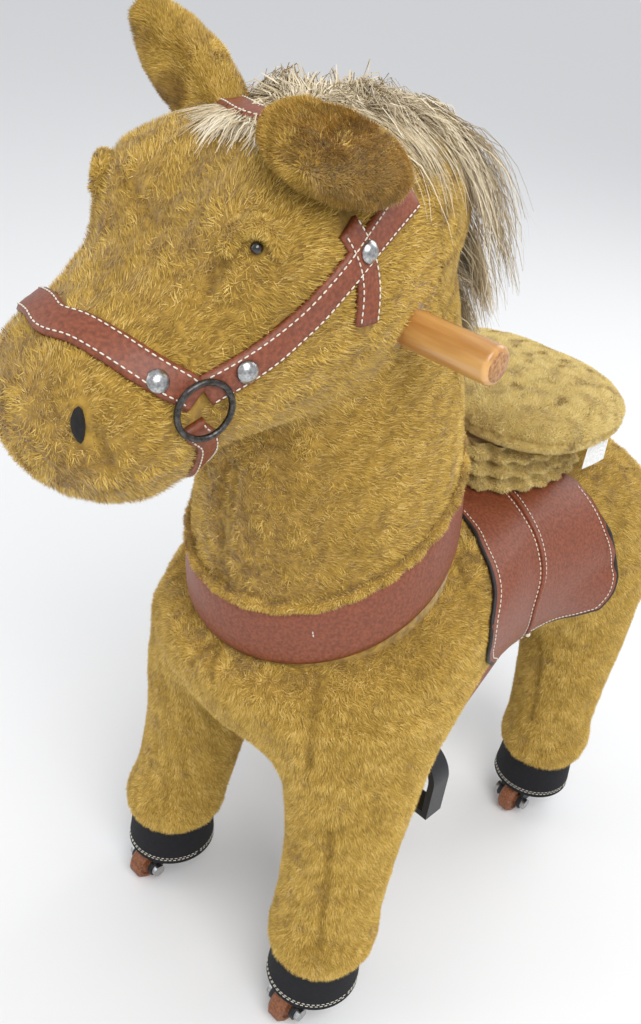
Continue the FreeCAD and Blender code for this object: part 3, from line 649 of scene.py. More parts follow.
def near_lines(p, lines):
    """Distance to the nearest of several lines, alike on both sides of the object."""
    side = p.copy()
    side[:, 0] = np.abs(side[:, 0])
    away = np.full(len(p), 1.0)
    for line in lines:
        for a, b in zip(line[:-1], line[1:]):
            away = np.minimum(away, capsule(side, a, b, 0))
    return away


def sink_seams(verts, normals, lines, depth=0.0034, width=0.0042):
    away = near_lines(verts, lines)
    return verts - normals * (depth * np.exp(-(away / width) ** 2))[:, None]


BLADE_WIDTH = 0.0008


def waves(p, size, seed):
    """Smooth wandering values of about -1 to 1, repeating at roughly a size."""
    rng = np.random.default_rng(seed)
    total = np.zeros(len(p))
    for _ in range(6):
        way = unit(rng.normal(size=3))
        total += np.sin(p @ way * (2 * math.pi / (size * rng.uniform(0.7, 1.5))) + rng.uniform(0, 6.28))
    return total / 2.45


def grow_pile(name, verts, quads, normals, count, length, shades, comb, seams=(), bare=None, seed=3):
    """A short pile of leaning blades rooted on a skin, parted into clumps, with darker blades along the seams
    as painted shade.
    """
    corners = verts[quads]
    area = np.linalg.norm(np.cross(corners[:, 2] - corners[:, 0], corners[:, 3] - corners[:, 1]), axis=1)
    rng = np.random.default_rng(seed)
    pick = rng.choice(len(quads), count, p=area / area.sum())
    u, v = rng.random((2, count))
    share = np.stack([(1 - u) * (1 - v), u * (1 - v), u * v, (1 - u) * v], 1)[..., None]
    root = (corners[pick] * share).sum(1)
    out = unit((normals[quads[pick]] * share).sum(1))
    if bare is not None:
        keep = ~bare(root)
        root, out, count = root[keep], out[keep], int(keep.sum())
    drift = np.stack([waves(root, 0.024, seed + k) + 0.6 * waves(root, 0.011,
                                                                 seed + 9 + k) for k in range(3)], 1)
    lean = np.array(comb) + 0.34 * drift + 0.26 * rng.normal(size=(count, 3))
    lean = unit(lean - out * (lean * out).sum(1)[:, None])
    way = unit(out * (0.48 + 0.35 * rng.random(count))[:, None] + 0.8 * lean)
    clump = waves(root, 0.014, seed + 30)
    long = length * rng.uniform(0.7, 1.15, count) * (1 + 0.10 * clump)
    level = 0.26 * clump + 0.16 * waves(root, 0.06, seed + 40) + 0.62 * rng.normal(size=count)
    if len(seams):
        close = np.exp(-(near_lines(root, seams) / 0.0035) ** 2)
        long = long * (1 - 0.6 * close)
        # Blades by a seam take darker shades: painted shade in the seam's groove.
        level = level - 1.6 * close
    across = unit(np.cross(way, out)) * (BLADE_WIDTH / 2 * rng.uniform(0.7, 1.3, count))[:, None]
    foot = root - out * 0.0004
    points = np.stack([foot - across, foot + across, foot + way * long[:, None]], 1).reshape(-1, 3)
    tone = np.digitize(level, (-0.75, 0.0, 0.75))
    return make_mesh(name, points, np.arange(count * 3).reshape(-1, 3), shades, tone, smooth=False)


# ---------------------------------------------------------------- plush skins

REAR_START = np.array([0, 0.18, 0.4])
REAR_WAY = np.array([0, 0.707, -0.707])
FRONT_START = np.array([0, -0.02, 0.35])
FRONT_WAY = np.array([0, -0.25, -0.968])
BODY_PILE, HEAD_PILE, SHORT_PILE, SEAT_PILE_LONG = 0.0062, 0.0056, 0.0042, 0.0040
BARREL_BLADES, LEG_BLADES, HEAD_BLADES = 190000, 120000, 165000
BODY_CELL, HEAD_CELL = 0.0046, 0.0040
PADDINGS = {
    "skin_barrel": ("torso_padding", "chest_padding"),
    "skin_leg_front_left": ("front_leg_padding_left",), "skin_leg_front_right": ("front_leg_padding_right",),
    "skin_hind_left": ("rear_leg_padding_left",), "skin_hind_right": ("rear_leg_padding_right",),
}


def ride_body_part(piece, name):
    if "barrel" in name:
        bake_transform(piece)
    elif "front" in name:
        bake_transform(piece)
    else:
        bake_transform(piece)


def build_body():
    """The body skin, parted at the legs' joints."""
    verts, quads, normals = skin_of(body_field, (-0.18, -0.25, 0.07), (0.18, 0.37, 0.56), BODY_CELL)
    verts = sink_seams(verts, normals, BODY_SEAMS)
    centre = verts[quads].mean(1)
    rear = ((centre - REAR_START) @ REAR_WAY > 0) & (centre[:, 1] > 0.03)
    front = ((centre - FRONT_START) @ FRONT_WAY > 0) & (centre[:, 1] < 0)
    left = centre[:, 0] > 0
    regions = {
        "skin_barrel": ~rear & ~front, "skin_leg_front_left": front & left,
        "skin_leg_front_right": front & ~left,
        "skin_hind_left": rear & left, "skin_hind_right": rear & ~left,
    }
    for number, (name, keep) in enumerate(regions.items()):
        part = part_of(verts, quads, normals, keep)
        piece = make_mesh(name, part[0], part[1], [SHADED_PLUSH_SKIN])
        ride_body_part(piece, name)
        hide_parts(*PADDINGS[name])
        count = BARREL_BLADES if name == "skin_barrel" else LEG_BLADES
        pile = grow_pile(name.replace("skin", "pile"), *part, count, BODY_PILE, PILE, (0.0, 0.35, -0.75),
                         BODY_SEAMS, body_bare, seed=20 + number)
        ride_body_part(pile, name)


def body_bare(p):
    """Places on the body that the flaps or the collar cover."""
    return flap_covers(p) | ((p - RING) @ RING_UP > 0.004) & (p[:, 1] < 0.03)


def head_bare(p):
    """Places on the head and neck that tack, the eyes, the nostrils or the handle's holes cover."""
    height = (p - RING) @ RING_UP
    side = p.copy()
    side[:, 0] = np.abs(side[:, 0])
    covered = height < 0.050
    for line, width in ((NOSEBAND, 0.022), (CHEEK, 0.02), (BROW, 0.018), (CHIN, 0.016), (POLL, 0.02)):
        for a, b in zip(line[:-1], line[1:]):
            covered |= capsule(side, a, b, 0) < width / 2
    covered |= np.linalg.norm(side - EYE_SPOT, axis=1) < 0.0055
    covered |= capsule(side, NOSTRIL[0], NOSTRIL[-1], 0) < 0.0050
    return covered | (capsule(side, (0.05, STEER[1], STEER[2]), (0.12, STEER[1], STEER[2]), 0) < 0.018)


def build_head_neck():
    verts, quads, normals = skin_of(head_neck_field, (-0.13, -0.41, 0.39), (0.13, 0.03, 0.93), HEAD_CELL)
    verts = sink_seams(verts, normals, HEAD_SEAMS)
    piece = make_mesh("skin_head_neck", verts, quads, [SHADED_PLUSH_SKIN])
    place_piece(piece, "steering")
    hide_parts("neck_padding", "head_padding")
    centre = verts[quads].mean(1)
    head = (centre - HEAD_ORIGIN) @ HEAD_AXIS > 0.03
    for name, keep, way, seed in (("pile_head", head, (0, 0.8, 0.1), 31), ("pile_neck", ~head, (0, 0.2, -0.8),
                                                                           32)):
        part = part_of(verts, quads, normals, keep)
        pile = grow_pile(name, *part, HEAD_BLADES, HEAD_PILE, PILE, way, HEAD_SEAMS, head_bare, seed=seed)
        place_piece(pile, "steering")


# ---------------------------------------------------------------- bridle and breast collar

NOSEBAND = np.array([
    (0.0000, -0.3535, 0.7412), (0.0183, -0.3481, 0.7413), (0.0373, -0.3412, 0.7367), (0.053, -0.3319, 0.729),
    (0.0628, -0.3214, 0.7217), (0.0679, -0.312, 0.7164), (0.0705, -0.306, 0.711)])
RING_SPOT = np.array([0.0725, -0.3037, 0.7047])
CHEEK = np.array([
    (0.072, -0.3, 0.713), (0.0747, -0.2936, 0.7171), (0.0801, -0.2774, 0.7256), (0.0849, -0.2575, 0.7376),
    (0.0904, -0.2402, 0.7531), (0.0955, -0.2231, 0.7722), (0.0946, -0.2018, 0.7892), (0.0894, -0.178, 0.802),
    (0.0844, -0.1534, 0.8142)])
POLL = np.array([(0.0844, -0.16, 0.8142), (0.064, -0.18, 0.84), (0.032, -0.198, 0.85), (0, -0.208, 0.845)])
BROW = np.array([
    (0.0909, -0.2158, 0.8044), (0.095, -0.2037, 0.7872), (0.0976, -0.1972, 0.7684), (0.0991, -0.1956,
                                                                                     0.7447)])
CHIN = np.array([(0.0712, -0.3075, 0.6937), (0.0709, -0.3045, 0.6876), (0.0675, -0.292, 0.676),
                 (0.045, -0.28, 0.646),
                 (0.0000, -0.276, 0.63)])


def strap_parts(points, width, thick, field, lift=0.0008):
    """A strap that lies on a surface, with the paths of its two rows of stitches."""
    path, normals = settle(field, smooth_path(points, 0.0035))
    across = unit(np.cross(normals, tangents(path)))
    place = np.linspace(-1, 1, 9)
    spots = path[:, None] + across[:, None] * (place * width / 2)[None, :, None]
    flat, up = settle(field, spots.reshape(-1, 3), lift)
    flat, up = flat.reshape(spots.shape), up.reshape(spots.shape)
    swell = thick * (1 - 0.45 * np.abs(place) ** 8)
    outer = flat + up * swell[None, :, None]
    rows = []
    for j in (1, 7):
        rows.append((outer[:, j], up[:, j]))
    return shell(outer, flat - up * 0.001), rows


def build_bridle():
    leather, thread = [], []
    over_nose = np.concatenate([NOSEBAND[::-1] * (-1, 1, 1), NOSEBAND[1:]])
    over_poll = np.concatenate([POLL * (-1, 1, 1), POLL[-2::-1]])
    for line, width in ((over_nose, 0.022), (over_poll, 0.02)):
        part, rows = strap_parts(line, width, 0.004, head_neck_field, 0.0016)
        leather.append(part)
        thread += [stitches(*row, 0.0003) for row in rows]
    one_leather, one_thread = [], []
    for line, width in ((CHEEK, 0.02), (BROW, 0.018), (CHIN, 0.016)):
        part, rows = strap_parts(line, width, 0.0038, head_neck_field, 0.0012)
        one_leather.append(part)
        one_thread += [stitches(*row, 0.0003) for row in rows]
    add_piece("bridle_leather", leather + both_sides(one_leather), LEATHER, "steering", "leather",
              "noseband", "crown_strap", "cheek_straps")
    add_piece("bridle_stitches", thread + both_sides(one_thread), THREAD, "steering", "leather")
    dome = [(0.0002, 0.004), (0.003, 0.0037), (0.005, 0.0027), (0.0064, 0.0012), (0.007, 0.0006),
            (0.007, -0.002),
            (0.0002, -0.002)]
    studs = []
    for spot in ((0.061, -0.3271, 0.7212), (0.0801, -0.2774, 0.7256), (0.0946, -0.2018, 0.7892)):
        place, up = settle(head_neck_field, np.array([spot]), 0.0052)
        studs.append(revolve(dome, place[0], up[0]))
    add_piece("bridle_domes", both_sides(studs), BRIGHT, "steering", "bright_steel", "bridle_studs")
    place, up = settle(head_neck_field, RING_SPOT[None], 0.0075)
    first = unit(np.cross(up[0], (0, 0, 1)))
    second = np.cross(up[0], first)
    angle = np.linspace(0, 2 * math.pi, 48, endpoint=False)
    loop = place[0] + 0.0182 * (np.cos(angle)[:, None] * first + np.sin(angle)[:, None] * second)
    ring = tube(loop, 0.0021, 12, up=up[0], closed=True)
    add_piece("bridle_loops", both_sides([ring]), NICKEL, "steering", "dark_nickel", "bridle_rings")


def neck_point(angle, height, level):
    """Points round the neck's base at a height over the slanted ring, outside it by a level."""
    front = unit(np.cross(RING_UP, X_AXIS))
    way = np.cos(angle)[..., None] * X_AXIS + np.sin(angle)[..., None] * front
    foot = RING + height[..., None] * RING_UP
    low, high = np.full(angle.shape, 0.03), np.full(angle.shape, 0.2)
    for _ in range(26):
        middle_of = (low + high) / 2
        inside = neck_field((foot + way * middle_of[..., None]).reshape(-1, 3)).reshape(angle.shape) < level
        low, high = np.where(inside, middle_of, low), np.where(inside, high, middle_of)
    return foot + way * low[..., None]


COLLAR_THICK, HEM_R, HEM_WAVE = 0.0036, 0.004, 0.0007


def build_collar():
    """The wide breast collar round the neck's base, with the plush hem that hangs over its top edge."""
    angle = np.linspace(0, 2 * math.pi, 160, endpoint=False)
    front = unit(np.cross(RING_UP, X_AXIS))
    toward = np.sin(angle) * -np.sign(front[1])
    low = 0.008 - 0.006 * toward
    high = 0.063 - 0.010 * toward
    place = np.linspace(0, 1, 12)
    angles = np.repeat(angle[:, None], 12, 1)
    heights = low[:, None] + (high - low)[:, None] * place
    swell = COLLAR_THICK * (1 - 0.4 * np.abs(2 * place - 1) ** 8)
    outer = neck_point(angles, heights, 0.0018 + swell[None, :])
    inner = neck_point(angles, heights, np.full(angles.shape, -0.0012))
    add_piece("collar_band", [shell(outer, inner, True)], LEATHER, "steering", "leather", "breast_collar")
    edge = outer[:, 1]
    normals = unit(edge - RING)
    marks = []
    for turn in (int(np.argmax(edge[:, 0] - edge[:, 1])), int(np.argmax(-edge[:, 0] - edge[:, 1]))):
        way = np.tile(normals[turn], (3, 1))
        marks.append(stitches(outer[turn, 6:9], way, 0.0004, 0.003, 0.0024))
    add_piece("collar_stitches", marks, THREAD, "steering", "leather")
    roll = neck_point(angle, high + 0.004, np.full(angle.shape, 0.0028))
    wave = HEM_R + HEM_WAVE * np.sin(angle * 23)
    verts, quads = tube(roll, wave, 14, closed=True)
    centre = np.repeat(roll, 14, axis=0)
    piece = make_mesh("neck_hem", verts, quads, [SHADED_PLUSH_SKIN])
    place_piece(piece, "steering")
    pile = grow_pile("pile_neck_hem", verts, quads, unit(verts - centre), 26000, SHORT_PILE, PILE,
                     (0, 0, -0.5),
                     seed=44)
    place_piece(pile, "steering")


# ---------------------------------------------------------------- saddle flaps

BELLY = np.array([0, 0, 0.41])
FLAP_LOW = np.array([
    (-0.0187, 12), (-0.015, 2), (-0.006, -4), (0.012, -10), (0.03, -18), (0.044, -26), (0.052, -28.5),
    (0.074, -28.5),
    (0.084, -24), (0.096, -20), (0.124, -21), (0.17, -19), (0.195, -16), (0.204, -9), (0.2075, 0)])
FLAP_HIGH = np.array([
    (-0.0187, 14), (0.007, 26), (0.018, 37), (0.0291, 46.6), (0.038, 62), (0.045, 76), (0.168, 76),
    (0.178, 60),
    (0.187, 44), (0.19, 25), (0.2, 12), (0.2075, 2)])
WELT = np.array([
    (0.0628, 0.1033, 0.4979), (0.088, 0.0944, 0.4883), (0.1116, 0.0895, 0.4692), (0.1245, 0.0861, 0.4435),
    (0.1285, 0.079, 0.4137), (0.1212, 0.089, 0.376)])


FLAP_THICK, FLAP_LIFT, PIPING_LEVEL, PIPING_R, FLAP_STITCH_IN = 0.004, 0.0004, 0.0028, 0.0021, 0.0065


def flap_point(y, angle, level):
    """Points on the barrel at a place along it and an angle above its middle, in degrees."""
    turn = np.radians(angle)
    way = np.stack([np.cos(turn), np.zeros_like(turn), np.sin(turn)], -1)
    foot = BELLY + y[..., None] * Y_AXIS
    low, high = np.full(y.shape, 0.03), np.full(y.shape, 0.19)
    for _ in range(24):
        half = (low + high) / 2
        inside = body_field((foot + way * half[..., None]).reshape(-1, 3)).reshape(y.shape) < level
        low, high = np.where(inside, half, low), np.where(inside, high, half)
    return foot + way * low[..., None]


def flap_covers(p):
    angle = np.degrees(np.arctan2(p[:, 2] - BELLY[2], np.abs(p[:, 0])))
    low = np.interp(p[:, 1], FLAP_LOW[:, 0], FLAP_LOW[:, 1], left=99, right=99)
    high = np.interp(p[:, 1], FLAP_HIGH[:, 0], FLAP_HIGH[:, 1], left=-99, right=-99)
    return (angle > low + 1.5) & (angle < np.minimum(high, 74) - 1.5)


def build_flaps():
    """The leather flaps, with a welt, black piping, stitches and a bead."""
    share = 0.5 - 0.5 * np.cos(np.linspace(0.06, math.pi - 0.06, 110))
    y = FLAP_LOW[0, 0] + (FLAP_LOW[-1, 0] - FLAP_LOW[0, 0]) * share
    low = np.interp(y, FLAP_LOW[:, 0], FLAP_LOW[:, 1])
    high = np.maximum(np.interp(y, FLAP_HIGH[:, 0], FLAP_HIGH[:, 1]), low + 0.5)
    place = np.linspace(0, 1, 34)
    ys = np.repeat(y[:, None], 34, 1)
    angles = low[:, None] + (high - low)[:, None] * place
    outer = flap_point(ys, angles, np.full(ys.shape, FLAP_THICK))
    inner = flap_point(ys, angles, np.full(ys.shape, FLAP_LIFT))
    leather = shell(outer, inner)
    lower = flap_point(y, low, np.full(y.shape, PIPING_LEVEL))
    rear_y = np.linspace(0.2075, 0.187, 12)
    rear = flap_point(rear_y, np.interp(rear_y, FLAP_HIGH[:, 0], FLAP_HIGH[:, 1]), np.full(12, PIPING_LEVEL))
    front_y = np.linspace(0.038, -0.0187, 20)
    front = flap_point(front_y, np.interp(front_y, FLAP_HIGH[:, 0], FLAP_HIGH[:, 1]),
                       np.full(20, PIPING_LEVEL))
    outline = smooth_path(np.concatenate([front, lower, rear])[::3], 0.003)
    piping = tube(outline, PIPING_R, 10, up=(1, 0, 0))
    path, up = settle(body_field, smooth_path(WELT, 0.003), 0.0044)
    welt = tube(path, 0.0024, 10, up=(1, 0, 0))
    across = unit(np.cross(up, tangents(path)))
    beside = [stitches(path + across * shift, up, -0.0002) for shift in (-0.0052, 0.0052)]
    centre = np.array([0.13, 0.1, 0.42])
    inward = outline + unit(centre - outline) * FLAP_STITCH_IN
    row, row_up = settle(body_field, inward, 0.0041)
    bead_at, bead_up = settle(body_field, np.array([[0.122, 0.094, 0.372]]), 0.0048)
    bead = revolve([(0.0002, 0.003), (0.0016, 0.0026), (0.0028, 0.001), (0.0028, -0.0006), (0.0002, -0.001)],
                   bead_at[0], bead_up[0], 18)
    edge_stitches = stitches(row, row_up, 0.0002)
    for name, side in (("left", list), ("right", mirrored)):
        add_piece(f"flap_leather_{name}", side([leather, welt]), LEATHER, "chassis", "leather",
                  f"saddle_flap_{name}")
        add_piece(f"flap_piping_{name}", side([piping]), LEATHER_EDGE, "chassis", "leather")
        add_piece(f"flap_stitches_{name}", side(beside + [edge_stitches]), THREAD, "chassis", "leather")
        add_piece(f"flap_bead_{name}", side([bead]), THREAD, "chassis", "leather")


# ---------------------------------------------------------------- seat

SEAT_MIDDLE = (SEAT_LOW + SEAT_HIGH) / 2
SEAT_HALF = (SEAT_HIGH - SEAT_LOW) / 2
SEAT_TALL = SEAT_HIGH[2] - SEAT_LOW[2]
SKIRT_LOW, SKIRT_HIGH = corners("seat_skirt")
SEAT_FORM = Loft([
    (h * SEAT_TALL, 0, 0, a * SEAT_HALF[0], a * SEAT_HALF[1]) for h, a in (
        (0.0, 0.72), (0.06, 0.87), (0.18, 0.965), (0.38, 0.995), (0.6, 0.955), (0.8, 0.83), (0.93, 0.6),
        (1.0, 0.3))
], (0, SEAT_MIDDLE[1], SEAT_LOW[2]), Z_AXIS, X_AXIS, Y_AXIS, 2.5)
SEAT_SEAM_Z = SEAT_LOW[2] + 0.36 * SEAT_TALL


def puff(piece, cap=0.008):
    """Lets the cover swell under pressure like stuffed cloth, moving no point further than cap."""
    rest = np.array([v.co for v in piece.data.vertices])
    cloth = piece.modifiers.new("puff", "CLOTH")
    cloth.settings.use_pressure = True
    cloth.settings.uniform_pressure_force = 4
    cloth.settings.quality = 5
    cloth.settings.effector_weights.gravity = 0
    scene = bpy.context.scene
    for step in range(1, 21):
        scene.frame_set(step)
    graph = bpy.context.evaluated_depsgraph_get()
    moved = np.array([v.co for v in piece.evaluated_get(graph).data.vertices])
    piece.modifiers.remove(cloth)
    scene.frame_set(1)
    step = moved - rest
    long = np.linalg.norm(step, axis=1, keepdims=True) + 1e-9
    step *= np.minimum(1, cap / long)
    place = rest + step
    place[:, 2] = np.clip(place[:, 2], SEAT_LOW[2], SEAT_HIGH[2] + 0.004)
    piece.data.vertices.foreach_set("co", place.astype(np.float32).ravel())
    piece.data.update()


def build_seat():
    low = np.array([-SEAT_HALF[0] - 0.01, SEAT_LOW[1] - 0.01, SEAT_LOW[2] - 0.01])
    high = np.array([SEAT_HALF[0] + 0.01, SEAT_HIGH[1] + 0.01, SEAT_HIGH[2] + 0.01])
    verts, quads, normals = skin_of(SEAT_FORM.at, low, high, 0.0042)
    piece = make_mesh("cushion_cover", verts, quads, [SHADED_SEAT_SKIN])
    puff(piece)
    verts = np.array([v.co for v in piece.data.vertices])
    normals = np.array([v.normal for v in piece.data.vertices])
    groove = np.exp(-((verts[:, 2] - SEAT_SEAM_Z) / 0.0026) ** 2) * (np.abs(normals[:, 2]) < 0.8)
    verts = verts - normals * (0.0030 * groove)[:, None]
    piece.data.vertices.foreach_set("co", verts.astype(np.float32).ravel())
    piece.data.update()
    place_piece(piece, "seat")
    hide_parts("seat_cushion")
    rim = SEAT_MIDDLE[:2] + np.stack([SEAT_HALF[0] * np.cos(np.linspace(0, 2 * math.pi, 60)),
                                      SEAT_HALF[1] * np.sin(np.linspace(0, 2 * math.pi, 60))], 1)
    seam = np.column_stack([rim, np.full(60, SEAT_SEAM_Z)])
    seam, _ = settle(SEAT_FORM.at, seam)
    seam[:, 2] = SEAT_SEAM_Z
    pile = grow_pile("pile_cushion", verts, quads, normals, 150000, SEAT_PILE_LONG, SEAT_PILE,
                     (0, 0.3, -0.35),
                     [seam[seam[:, 0] > -0.01]], seed=51)
    place_piece(pile, "seat")


def build_skirt():
    """The gathered skirt between the saddle and the cushion."""
    count = 220
    angle = np.linspace(0, 2 * math.pi, count, endpoint=False)
    middle_of = (SKIRT_LOW + SKIRT_HIGH) / 2
    half = (SKIRT_HIGH - SKIRT_LOW) / 2
    rows = []
    for share in np.linspace(0, 1, 30):
        fold = 0.0045 * math.sin(share * 3 * 2 * math.pi) + 0.0030 * np.sin(angle * 24 + 3 * share)
        ca, sa = np.cos(angle), np.sin(angle)
        squarer = (np.abs(ca) ** 2.4 + np.abs(sa) ** 2.4) ** (-1 / 2.4)
        rows.append(np.stack([middle_of[0] + ca * squarer * (half[0] - 0.006 + fold),
                              middle_of[1] + sa * squarer * (half[1] - 0.006 + fold),
                              np.full(count, SKIRT_LOW[2] + share * (SKIRT_HIGH[2] - SKIRT_LOW[2]))], 1))
    verts, quads = lattice(np.stack(rows))
    quads = quads[:, ::-1]
    piece = make_mesh("skirt_folds", verts, quads, [SHADED_SEAT_SKIN])
    normals = np.array([v.normal for v in piece.data.vertices])
    outward = verts - middle_of
    outward[:, 2] = 0
    if (normals * outward).sum() < 0:
        piece.data.flip_normals()
        normals = -normals
    pile = grow_pile("pile_skirt", verts, quads, normals, 70000, 0.0038, SEAT_PILE, (0, 0, -0.6), seed=57)
    for part in (piece, pile):
        place_piece(part, "chassis")
        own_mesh(part)
    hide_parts("seat_skirt")


def build_spring():
    """The return spring, as a coil."""
    node = frame["nodes"]["return_spring"]
    piece = bpy.data.objects.new("spring_coil", node.data.copy())
    bpy.context.scene.collection.objects.link(piece)
    piece.matrix_world = node.matrix_world.copy()
    for place in piece.material_slots:
        place.material = BRIGHT
    place_piece(piece, "chassis")
    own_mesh(piece)
    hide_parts("return_spring")


def build_tag():
    """The blank woven tag sewn under the cushion's rim."""
    low, high = corners("seat_tag")
    across = np.linspace(low[1], high[1], 20)
    down = np.linspace(high[2], low[2], 16)
    grid = np.zeros((20, 16, 3))
    grid[..., 0] = high[0] + 0.0004 + 0.0016 * np.sin(np.linspace(0, 2.4, 20))[:, None] * np.linspace(0, 1,
                                                                                                      16)
    grid[..., 1] = across[:, None]
    grid[..., 2] = down[None]
    verts, faces = lattice(grid, closed_ring=False)
    piece = make_mesh("tag_panel", verts, faces, [TAG])
    place_piece(piece, "seat")
    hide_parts("seat_tag")
    top = grid[:, 1] + np.array([0.0002, 0, 0])
    sewn = stitches(top, np.tile(X_AXIS, (20, 1)), 0.0002, 0.003, 0.002, 0.0003)
    seam = add_piece("tag_stitches", [sewn], THREAD, "seat", "tag_cloth")


# ---------------------------------------------------------------- ears, eyes, hair

def build_ears():
    """Floppy stuffed ears, each creased down its middle."""
    for name, base, tip, wide, thick, hint, seed in (
        ("right", (-0.04, -0.19, 0.83), (-0.117, -0.207, 0.888), 0.024, 0.021, (0.3, -0.9, 0.2), 61),
        ("left", (0.06, -0.18, 0.842), (0.094, -0.258, 0.842), 0.045, 0.021, (0.25, 0.1, 0.95), 62),
    ):
        base, tip = np.array(base), np.array(tip)
        axis = unit(tip - base)
        face = unit(np.array(hint) - axis * np.dot(hint, axis))
        side = np.cross(axis, face)
        angle = np.linspace(0, 2 * math.pi, 44, endpoint=False)
        rows, centres = [], []
        for share in np.linspace(0, 1, 34):
            size = max(0.04, math.sin(math.pi * (0.18 + 0.80 * share)) ** 0.55)
            size = size if share < 0.97 else size * 0.4
            centre = base + (tip - base) * share
            dent = 0.42 * math.sin(math.pi * min(share * 1.1, 1))
            a = np.cos(angle) * wide * size
            b = np.sin(angle) * thick * size
            b = b - np.where(b > 0, dent * thick * size * np.exp(-(a / (0.38 * wide)) ** 2), 0)
            rows.append(centre + a[:, None] * side + b[:, None] * face)
            centres.append(np.tile(centre, (44, 1)))
        rows.append(np.tile(tip + axis * 0.001, (44, 1)) + 0.0001 * (rows[-1] - tip))
        centres.append(np.tile(tip - axis * 0.003, (44, 1)))
        verts, quads = lattice(np.stack(rows))
        outward = unit(verts - np.concatenate(centres))
        quads = facing(verts, quads, outward)
        piece = make_mesh(f"ear_skin_{name}", verts, quads, [SHADED_PLUSH_SKIN])
        place_piece(piece, "steering")
        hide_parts(f"ear_{name}")
        pile = grow_pile(f"pile_ear_{name}", verts, quads, outward, 36000, 0.0052, PILE, tuple(axis * 0.7),
                         seed=seed)
        place_piece(pile, "steering")


EYE_SPOT = np.array([0.0747, -0.2693, 0.7948])
NOSTRIL = np.array([(0.0438, -0.366, 0.709), (0.0463, -0.3684, 0.7001), (0.0488, -0.368, 0.689)])
EYELID = np.array([
    (0.061, -0.283, 0.79), (0.064, -0.2725, 0.802), (0.0728, -0.2649, 0.8055), (0.0805, -0.2605, 0.7995),
    (0.0835, -0.261, 0.7905)])


EYE_BEAD = [
    (0.0002, 0.0042), (0.0018, 0.0038), (0.0032, 0.0026), (0.004, 0.0004), (0.0034, -0.002), (0.0002, -0.003)]
LID_R, NOSTRIL_R = 0.0056, 0.0042
PLEATS, PLEAT_DEEP, PUCKER_IN, PUCKER_OUT, PUCKER_R, PUCKER_BULGE = 14, 0.0018, 0.06, 0.02, 0.015, 0.011


def build_eyes():
    """Small bead eyes, each under a plush lid."""
    spot, up = settle(head_neck_field, EYE_SPOT[None], 0.0022)
    bead = revolve(EYE_BEAD, spot[0], up[0])
    add_piece("eye_beads", both_sides([bead]), EYE, "steering", "eye_gloss", "eyes")
    line, _ = settle(head_neck_field, smooth_path(NOSTRIL, 0.0015), 0.0018)
    slit = tube(line, NOSTRIL_R * np.sin(np.linspace(0.4, math.pi - 0.25, len(line))), 14)
    add_piece("nostril_slits", both_sides([slit]), NOSE, "steering", "nose_patch", "nostrils")
    path, _ = settle(head_neck_field, smooth_path(EYELID, 0.0025), 0.0018)
    size = LID_R * np.sin(np.linspace(0.25, math.pi - 0.25, len(path))) ** 0.5
    verts, quads = gather(both_sides([tube(path, size, 14)]))
    centre = np.concatenate([np.repeat(path, 14, 0), np.repeat(path * (-1, 1, 1), 14, 0)])
    piece = make_mesh("eyelids", verts, quads, [SHADED_PLUSH_SKIN])
    outward = unit(verts - centre)
    pile = grow_pile("pile_eyelids", verts, quads, outward, 9000, SHORT_PILE, PILE, (0, 0.3, -0.5), seed=71)
    for part in (piece, pile):
        place_piece(part, "steering")


def build_handle_holes():
    """The puckered plush collars round the handle, and the grain of its two ends."""
    angle = np.linspace(0, 2 * math.pi, 112, endpoint=False)
    rows = []
    for share in np.linspace(0, 1, 14):
        pleat = PLEAT_DEEP * np.cos(angle * PLEATS) * math.sin(math.pi * share)
        reach = PUCKER_R + PUCKER_BULGE * math.sin(math.pi * (0.12 + 0.80 * share)) + pleat
        x = np.full(112, PUCKER_IN + PUCKER_OUT * share)
        rows.append(np.stack([x, STEER[1] + reach * np.cos(angle), STEER[2] + reach * np.sin(angle)], 1))
    both = gather(both_sides([lattice(np.stack(rows))]))
    axis = both[0] * (1, 0, 0) + (0, STEER[1], STEER[2])
    piece = make_mesh("handle_puckers", *both, [SHADED_PLUSH_SKIN])
    outward = unit(both[0] - axis)
    pile = grow_pile("pile_puckers", *both, outward, 26000, 0.004, PILE, (0, 0.2, -0.5), seed=73)
    for part in (piece, pile):
        place_piece(part, "steering")
    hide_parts("handle_cuffs")
    low, high = corners("handle")
    disc = [(0.0105, -0.0006), (0.0105, 0.0002), (0.007, 0.0005), (0.003, 0.0006), (0.0002, 0.0006)]
    ends = [revolve(disc, (x, STEER[1], STEER[2]), (way, 0, 0)) for x, way in ((high[0], 1), (low[0], -1))]
    add_piece("handle_end_grain", ends, END_WOOD, "steering", "handle_wood")


